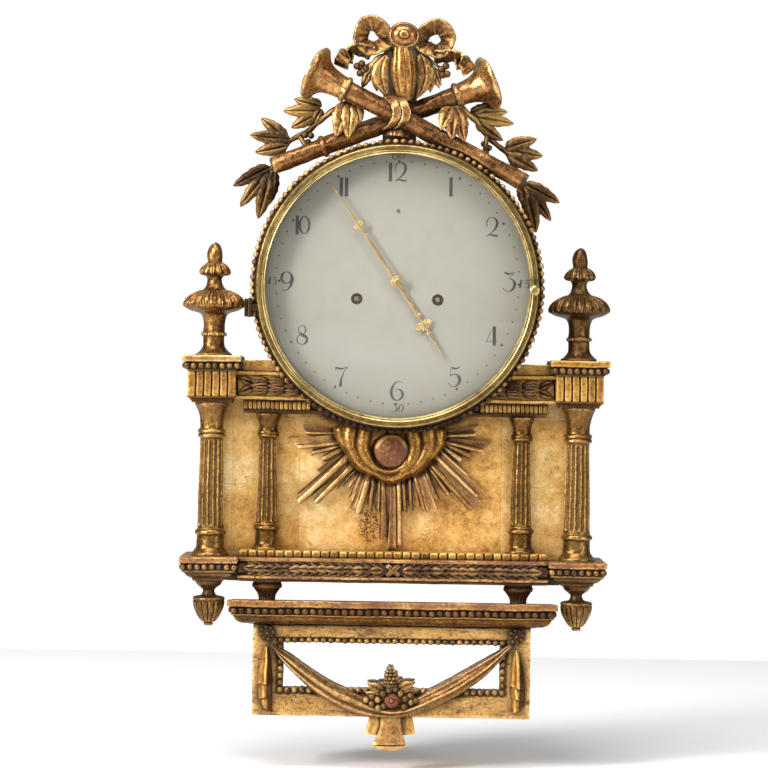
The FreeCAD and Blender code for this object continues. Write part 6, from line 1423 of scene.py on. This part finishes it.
# leaves and berries round the stem
G = Geo()
for b, t, w, *bd in (((384, 54, 100), (361, 85, 93), 9), ((386, 55, 102), (388.5, 98, 97), 14, 7.5), ((383, 57, 100), (377, 92, 95), 10, 4.0), ((372, 66, 97), (362, 88, 92), 8),
                ((417, 50, 100), (440, 89, 93), 7), ((420, 54, 102), (416.5, 99, 97), 14, -7.5), ((423, 57, 100), (430, 93, 95), 10, -4.0), ((431, 66, 97), (441, 86, 92), 7),
                ((347, 101, 90), (336, 137, 91), 15), ((351, 101, 91), (348.5, 139, 93), 14), ((354, 102, 91), (360, 124, 91), 12),
                ((451, 107, 92), (440.5, 130, 112.5), 13), ((455, 107, 92), (465, 142, 112), 14), ((452.5, 109, 93), (452, 140, 114), 14)):
    leaf(G, at(*b), at(*t), w * 1.15 * 1.25, arch=2.6, thick=3.6, rib=1.7, nu=19, nv=15, vein=0.5, tip=0.7, bend=(bd or [0.0])[0])
for pts in ([(392, 48, 99), (380, 58, 99), (366, 66, 97), (358, 70, 96)], [(416, 48, 99), (428, 58, 99), (438, 66, 97), (445, 71, 96)]):
    tube(G, spline([at(*p) for p in pts], 16), np.linspace(2.6, 1.4, 16), n=10)
make("crest_leaves", G, M_BOW, wob=0.25)
G = Geo()
for p in ((357, 66, 97), (362, 63.5, 98), (360, 73, 98), (366, 68.5, 99), (441, 69, 98), (446, 66, 97), (447, 74, 98), (442.5, 75, 99)):
    ball(G, at(*p), 4.2, 0.35 + rng.uniform(-.1, .2))
    ball(G, at(*p) + np.array([0, -3.5, -1.0]), 0.9, 0.2)
make("crest_berries", G, M_BROWN, wob=0.2)


def spray(name, stem, leaves, berries, rep, hooks):
    G = Geo()
    S = spline([at(*p) for p in stem], 60)
    tube(G, S, np.interp(np.linspace(0, 1, 60), [0, .5, 1], [3.6, 3.2, 2.8]), n=12, disp=lambda u, th: 0.4 * np.sin(18 * u + th) + 0.3 * np.sin(47 * u - 2 * th))
    for pts in hooks:
        tube(G, spline([at(*p) for p in pts], 16), 2.9, n=10)
    for b, t, w in leaves:
        i = rng.random()
        leaf(G, at(b[0], b[1], 61.5), at(t[0], t[1], 58.5 + 4 * i), w * 1.17 * 1.42, arch=2.4, thick=3.4, rib=1.7, nu=19, nv=15, vein=0.5, tip=0.62, pw=0.7, curl=rng.uniform(-1.2, 1.2), bend=rng.uniform(-.8, .8))
        c = np.array(b) + (np.array(t) - np.array(b)) * 0.12
    for p in berries:
        ball(G, at(p[0], p[1], 62), 3.9, 0.4 + rng.uniform(-.2, .2))
        ball(G, at(p[0], p[1], 66), 0.9, 0.2)
    if rep.endswith("left"):
        G.t = [tn + 0.5 * sstep(140, 205, V[:, 2]) - 0.05 for V, tn in zip(G.v, G.t)]
    else:
        G.t = [tn + 0.65 * sstep(160, 200, V[:, 2]) + 0.06 for V, tn in zip(G.v, G.t)]
    make(name, G, M_SPRAY if rep.endswith("left") else M_SPRAY_R, wob=0.25, rep=(rep,))


M_SPRAY_R = gilt("spray_gold_right", srgb(168, 131, 76), srgb(88, 63, 32), srgb(37, 25, 13), wear=0.0, hollow_dirt_and_shade=1.15, met=0.78, ro=(0.24, 0.42))
M_SPRAY = gilt("spray_gold", srgb(136, 103, 57), srgb(66, 46, 24), srgb(29, 20, 10), wear=0.0, hollow_dirt_and_shade=1.15, met=0.78, ro=(0.24, 0.42))
spray("laurel_spray_left", [(346, 104, 70), (333, 111, 66), (318, 122, 61), (310, 130, 60), (298, 136, 60), (288, 142, 60), (283, 153, 60), (275, 163, 61), (270, 170, 62)],
      [((322, 106), (294, 99), 9), ((320, 111), (283, 111), 10), ((316, 115), (291, 128), 9), ((322, 109), (312, 126), 7),
       ((287, 139), (261, 118), 9.5), ((290, 139), (250, 135), 10.5), ((287, 146), (255, 152), 10),
       ((270, 167), (233, 186), 10), ((269, 171), (240, 207), 10), ((270, 171), (258, 219), 12), ((274, 171), (269, 205), 9)],
      [(305, 135), (311, 135.5), (308, 142), (309, 147)], "laurel_left", [[(300, 137, 61), (306, 146, 66), (312, 154, 74)]])
spray("laurel_spray_right", [(460, 106, 72), (475, 120, 64), (487, 135, 61), (497, 145, 60), (508, 155, 60), (515, 168, 60), (522, 178, 61), (527, 187, 61)],
      [((471, 112), (508, 112), 9), ((473, 116), (514, 124), 10), ((476, 121), (503, 141), 9), ((470, 113), (496, 104), 7),
       ((505, 149), (537, 139), 10), ((505, 150), (543, 156), 11), ((508, 154), (538, 171), 10),
       ((524, 184), (560, 203), 10), ((525, 187), (551, 221), 10), ((526, 188), (536, 233), 12), ((522, 186), (524, 207), 9)],
      [(484, 144), (489, 148), (486, 153)], "laurel_right", [[(487, 135, 61), (485, 150, 72), (480, 158, 92)], [(524, 182, 61), (518, 180, 76), (511, 176, 92)]])

# ---------------------------------------------------------------- finishes of the parts kept from the frame
BY_SLOT = {"gilt_wood": M_BROWN_CAD, "raw_wood": M_PINE, "brass": M_BRASS, "gilt_brass": M_HAND, "steel": M_STEEL, "dark_iron": M_IRON, "painted_dial": M_DIAL, "glass": M_GLASS, "mirror": M_MIRROR}
for nm, ob in NODES.items():
    for ms in ob.material_slots:
        key = ms.material.name.split(".")[0] if ms.material else ""
        hit = [s for s in BY_SLOT if key == s or key.endswith(s)]
        if nm == "gilded_panel":
            ms.material = M_PANEL
        elif nm in ("bezel_hinge", "hinge_bracket"):
            ms.material = M_HINGE
        elif nm == "case_sides":
            ms.material = M_BROWN_CAD
        else:
            ms.material = BY_SLOT[max(hit, key=len)] if hit else M_BRASS

# ---------------------------------------------------------------- dirt, painted shade and wear: occlusion and curvature worked out on each piece
shown = [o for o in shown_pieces() if o.type == 'MESH' and o.name not in ("glass_dome",)]
AV, AF, base = [], [], 0
for o in shown:
    me = o.data
    co = np.empty(len(me.vertices) * 3, np.float32)
    me.vertices.foreach_get("co", co)
    AV.append(co.reshape(-1, 3))
    me.calc_loop_triangles()
    tri = np.empty(len(me.loop_triangles) * 3, np.int32)
    me.loop_triangles.foreach_get("vertices", tri)
    AF.append(tri.reshape(-1, 3) + base)
    base += len(me.vertices)
AV, AF = np.concatenate(AV), np.concatenate(AF)
print("shown verts", len(AV), "tris", len(AF), "pieces", len(shown))
bvh = BVHTree.FromPolygons(AV.tolist(), AF.tolist(), all_triangles=True)
NR, REACH = (8), 0.016
gold = pi * (3 - 5 ** 0.5)
HEMI = []
for k in range(NR):
    zz = math.sqrt(1 - (k + 0.5) / NR * 0.92)
    HEMI.append((math.sqrt(1 - zz * zz) * math.cos(gold * k), math.sqrt(1 - zz * zz) * math.sin(gold * k), zz))
HEMI = np.array(HEMI)
for o in PIECES:
    if o.name in ("glass_dome", "dial_figures", "dial_dots"):
        continue
    me = o.data
    n = len(me.vertices)
    co, no = np.empty(n * 3, np.float32), np.empty(n * 3, np.float32)
    me.vertices.foreach_get("co", co)
    me.vertex_normals.foreach_get("vector", no)
    co, no = co.reshape(-1, 3).astype(float), no.reshape(-1, 3).astype(float)
    ref = np.where(np.abs(no[:, 2:3]) < 0.9, np.array([[0, 0, 1.0]]), np.array([[1.0, 0, 0]]))
    e1 = np.cross(no, ref); e1 /= np.linalg.norm(e1, axis=1)[:, None] + 1e-9
    e2 = np.cross(no, e1)
    spin = (np.arange(n) * 2.399963) % (2 * pi)
    cs, sn = np.cos(spin)[:, None], np.sin(spin)[:, None]
    acc = np.zeros(n)
    org = (co + no * 0.0004).tolist()
    for hx, hy, hz in HEMI:
        D = (e1 * (cs * hx - sn * hy) + e2 * (sn * hx + cs * hy) + no * hz).tolist()
        rc = bvh.ray_cast
        for i in range(n):
            h = rc(org[i], D[i], REACH)[3]
            if h is not None:
                acc[i] += 1.0 - h / REACH
    ao = 1 - acc / NR
    E = np.empty(len(me.edges) * 2, np.int32)
    me.edges.foreach_get("vertices", E)
    E = E.reshape(-1, 2)
    dp, dn_ = co[E[:, 1]] - co[E[:, 0]], no[E[:, 1]] - no[E[:, 0]]
    L = np.linalg.norm(dp, axis=1) + 1e-7
    c = (dp * dn_).sum(1) / (L * L) / 1000.0
    cnt = np.bincount(E.ravel(), minlength=n) + 1e-9
    cur = (np.bincount(E[:, 0], c, n) + np.bincount(E[:, 1], c, n)) / cnt
    cur = 0.5 + 0.5 * np.tanh(cur * 1.1)
    for _ in range(2):
        ao = 0.5 * ao + 0.5 * (np.bincount(E[:, 0], ao[E[:, 1]], n) + np.bincount(E[:, 1], ao[E[:, 0]], n)) / cnt
    cur = 0.6 * cur + 0.4 * (np.bincount(E[:, 0], cur[E[:, 1]], n) + np.bincount(E[:, 1], cur[E[:, 0]], n)) / cnt
    for key, val in (("ao", ao), ("cur", cur)):
        at_ = me.attributes.new(key, 'FLOAT', 'POINT')
        at_.data.foreach_set("value", val.astype(np.float32))

# ---------------------------------------------------------------- floor, light, camera
def floor():
    t = NT("pale_floor")
    n = t.noise(6, 3)
    col = t.ramp(n, [(0.3, (0.90, 0.90, 0.905)), (0.7, (0.92, 0.92, 0.925))])
    return t.done(col, 0.6, 0.0)


me = bpy.data.meshes.new("floor")
xs, ys = np.linspace(-3.2, 3.2, 9), np.linspace(-4.2, 1.345, 8)
V = [(x, y, -0.56) for x in xs for y in ys]
F = [(i * 8 + j, (i + 1) * 8 + j, (i + 1) * 8 + j + 1, i * 8 + j + 1) for i in range(8) for j in range(7)]
me.from_pydata(V, [], F)
fl = bpy.data.objects.new("floor", me)
bpy.context.scene.collection.objects.link(fl)
me.materials.append(floor())

sc = bpy.context.scene
world = bpy.data.worlds.new("studio")
sc.world = world
world.use_nodes = True
wt = world.node_tree
wt.nodes.clear()
wo = wt.nodes.new('ShaderNodeOutputWorld')
bg = wt.nodes.new('ShaderNodeBackground')
tc = wt.nodes.new('ShaderNodeTexCoord')
sx = wt.nodes.new('ShaderNodeSeparateXYZ')
wt.links.new(tc.outputs['Generated'], sx.inputs[0])
dt = wt.nodes.new('ShaderNodeVectorMath')
dt.operation = 'DOT_PRODUCT'
wt.links.new(tc.outputs['Generated'], dt.inputs[0])
dt.inputs[1].default_value = Vector((-0.16, -0.9, 0.4)).normalized()


def ramp_w(sock, lo, hi, top):
    n = wt.nodes.new('ShaderNodeMapRange')
    n.interpolation_type = 'SMOOTHSTEP'
    wt.links.new(sock, n.inputs['Value'])
    for k, v in (('From Min', lo), ('From Max', hi), ('To Min', 0.0), ('To Max', top)):
        n.inputs[k].default_value = v
    return n.outputs[0]


def plus(a, b):
    n = wt.nodes.new('ShaderNodeMath')
    n.operation = 'ADD'
    for i, v in enumerate((a, b)):
        if isinstance(v, float):
            n.inputs[i].default_value = v
        else:
            wt.links.new(v, n.inputs[i])
    return n.outputs[0]


glow = plus(plus(plus(ramp_w(dt.outputs['Value'], 0.55, 0.98, 0.68), ramp_w(sx.outputs['Y'], 0.2, 0.95, 0.3)), ramp_w(sx.outputs['Z'], 0.6, 0.98, 0.7)), 0.06)
lp = wt.nodes.new('ShaderNodeLightPath')
mx = wt.nodes.new('ShaderNodeMix')
mx.data_type = 'FLOAT'
wt.links.new(lp.outputs['Is Camera Ray'], mx.inputs[0])
wt.links.new(glow, mx.inputs[2])
mx.inputs[3].default_value = 1.03
wt.links.new(mx.outputs[0], bg.inputs['Strength'])
bg.inputs['Color'].default_value = (1.0, 1.0, 1.0, 1)
wt.links.new(bg.outputs[0], wo.inputs['Surface'])


def area(name, loc, to, size, power, col=(1, 1, 1)):
    L = bpy.data.lights.new(name, 'AREA')
    L.shape, L.size, L.size_y, L.energy, L.color = 'RECTANGLE', size[0], size[1], power, col
    o = bpy.data.objects.new(name, L)
    o.location = loc
    o.rotation_euler = (Vector(to) - Vector(loc)).to_track_quat('-Z', 'Y').to_euler()
    sc.collection.objects.link(o)


area("soft_top", (-0.35, -1.35, 2.2), (0, -0.1, -0.05), (2.0, 1.2), 70)
area("soft_left", (-2.3, -2.0, 1.0), (0, -0.1, -0.1), (0.8, 1.0), 132)
area("soft_right", (2.2, -1.8, 0.6), (0, -0.1, -0.1), (0.6, 1.6), 26)

cam = bpy.data.cameras.new("photo_camera")
cam.lens, cam.sensor_width, cam.sensor_fit = 134.5, 36.0, 'HORIZONTAL'
cam.clip_end = 50
co_ = bpy.data.objects.new("photo_camera", cam)
from mathutils import Matrix
co_.matrix_world = Matrix(((CT, -ST, 0, -0.01365), (0, 0, -1, -3.4), (ST, CT, 0, -0.11207), (0, 0, 0, 1)))
sc.collection.objects.link(co_)
sc.camera = co_
sc.view_settings.view_transform = 'Standard'
sc.view_settings.look = 'None'
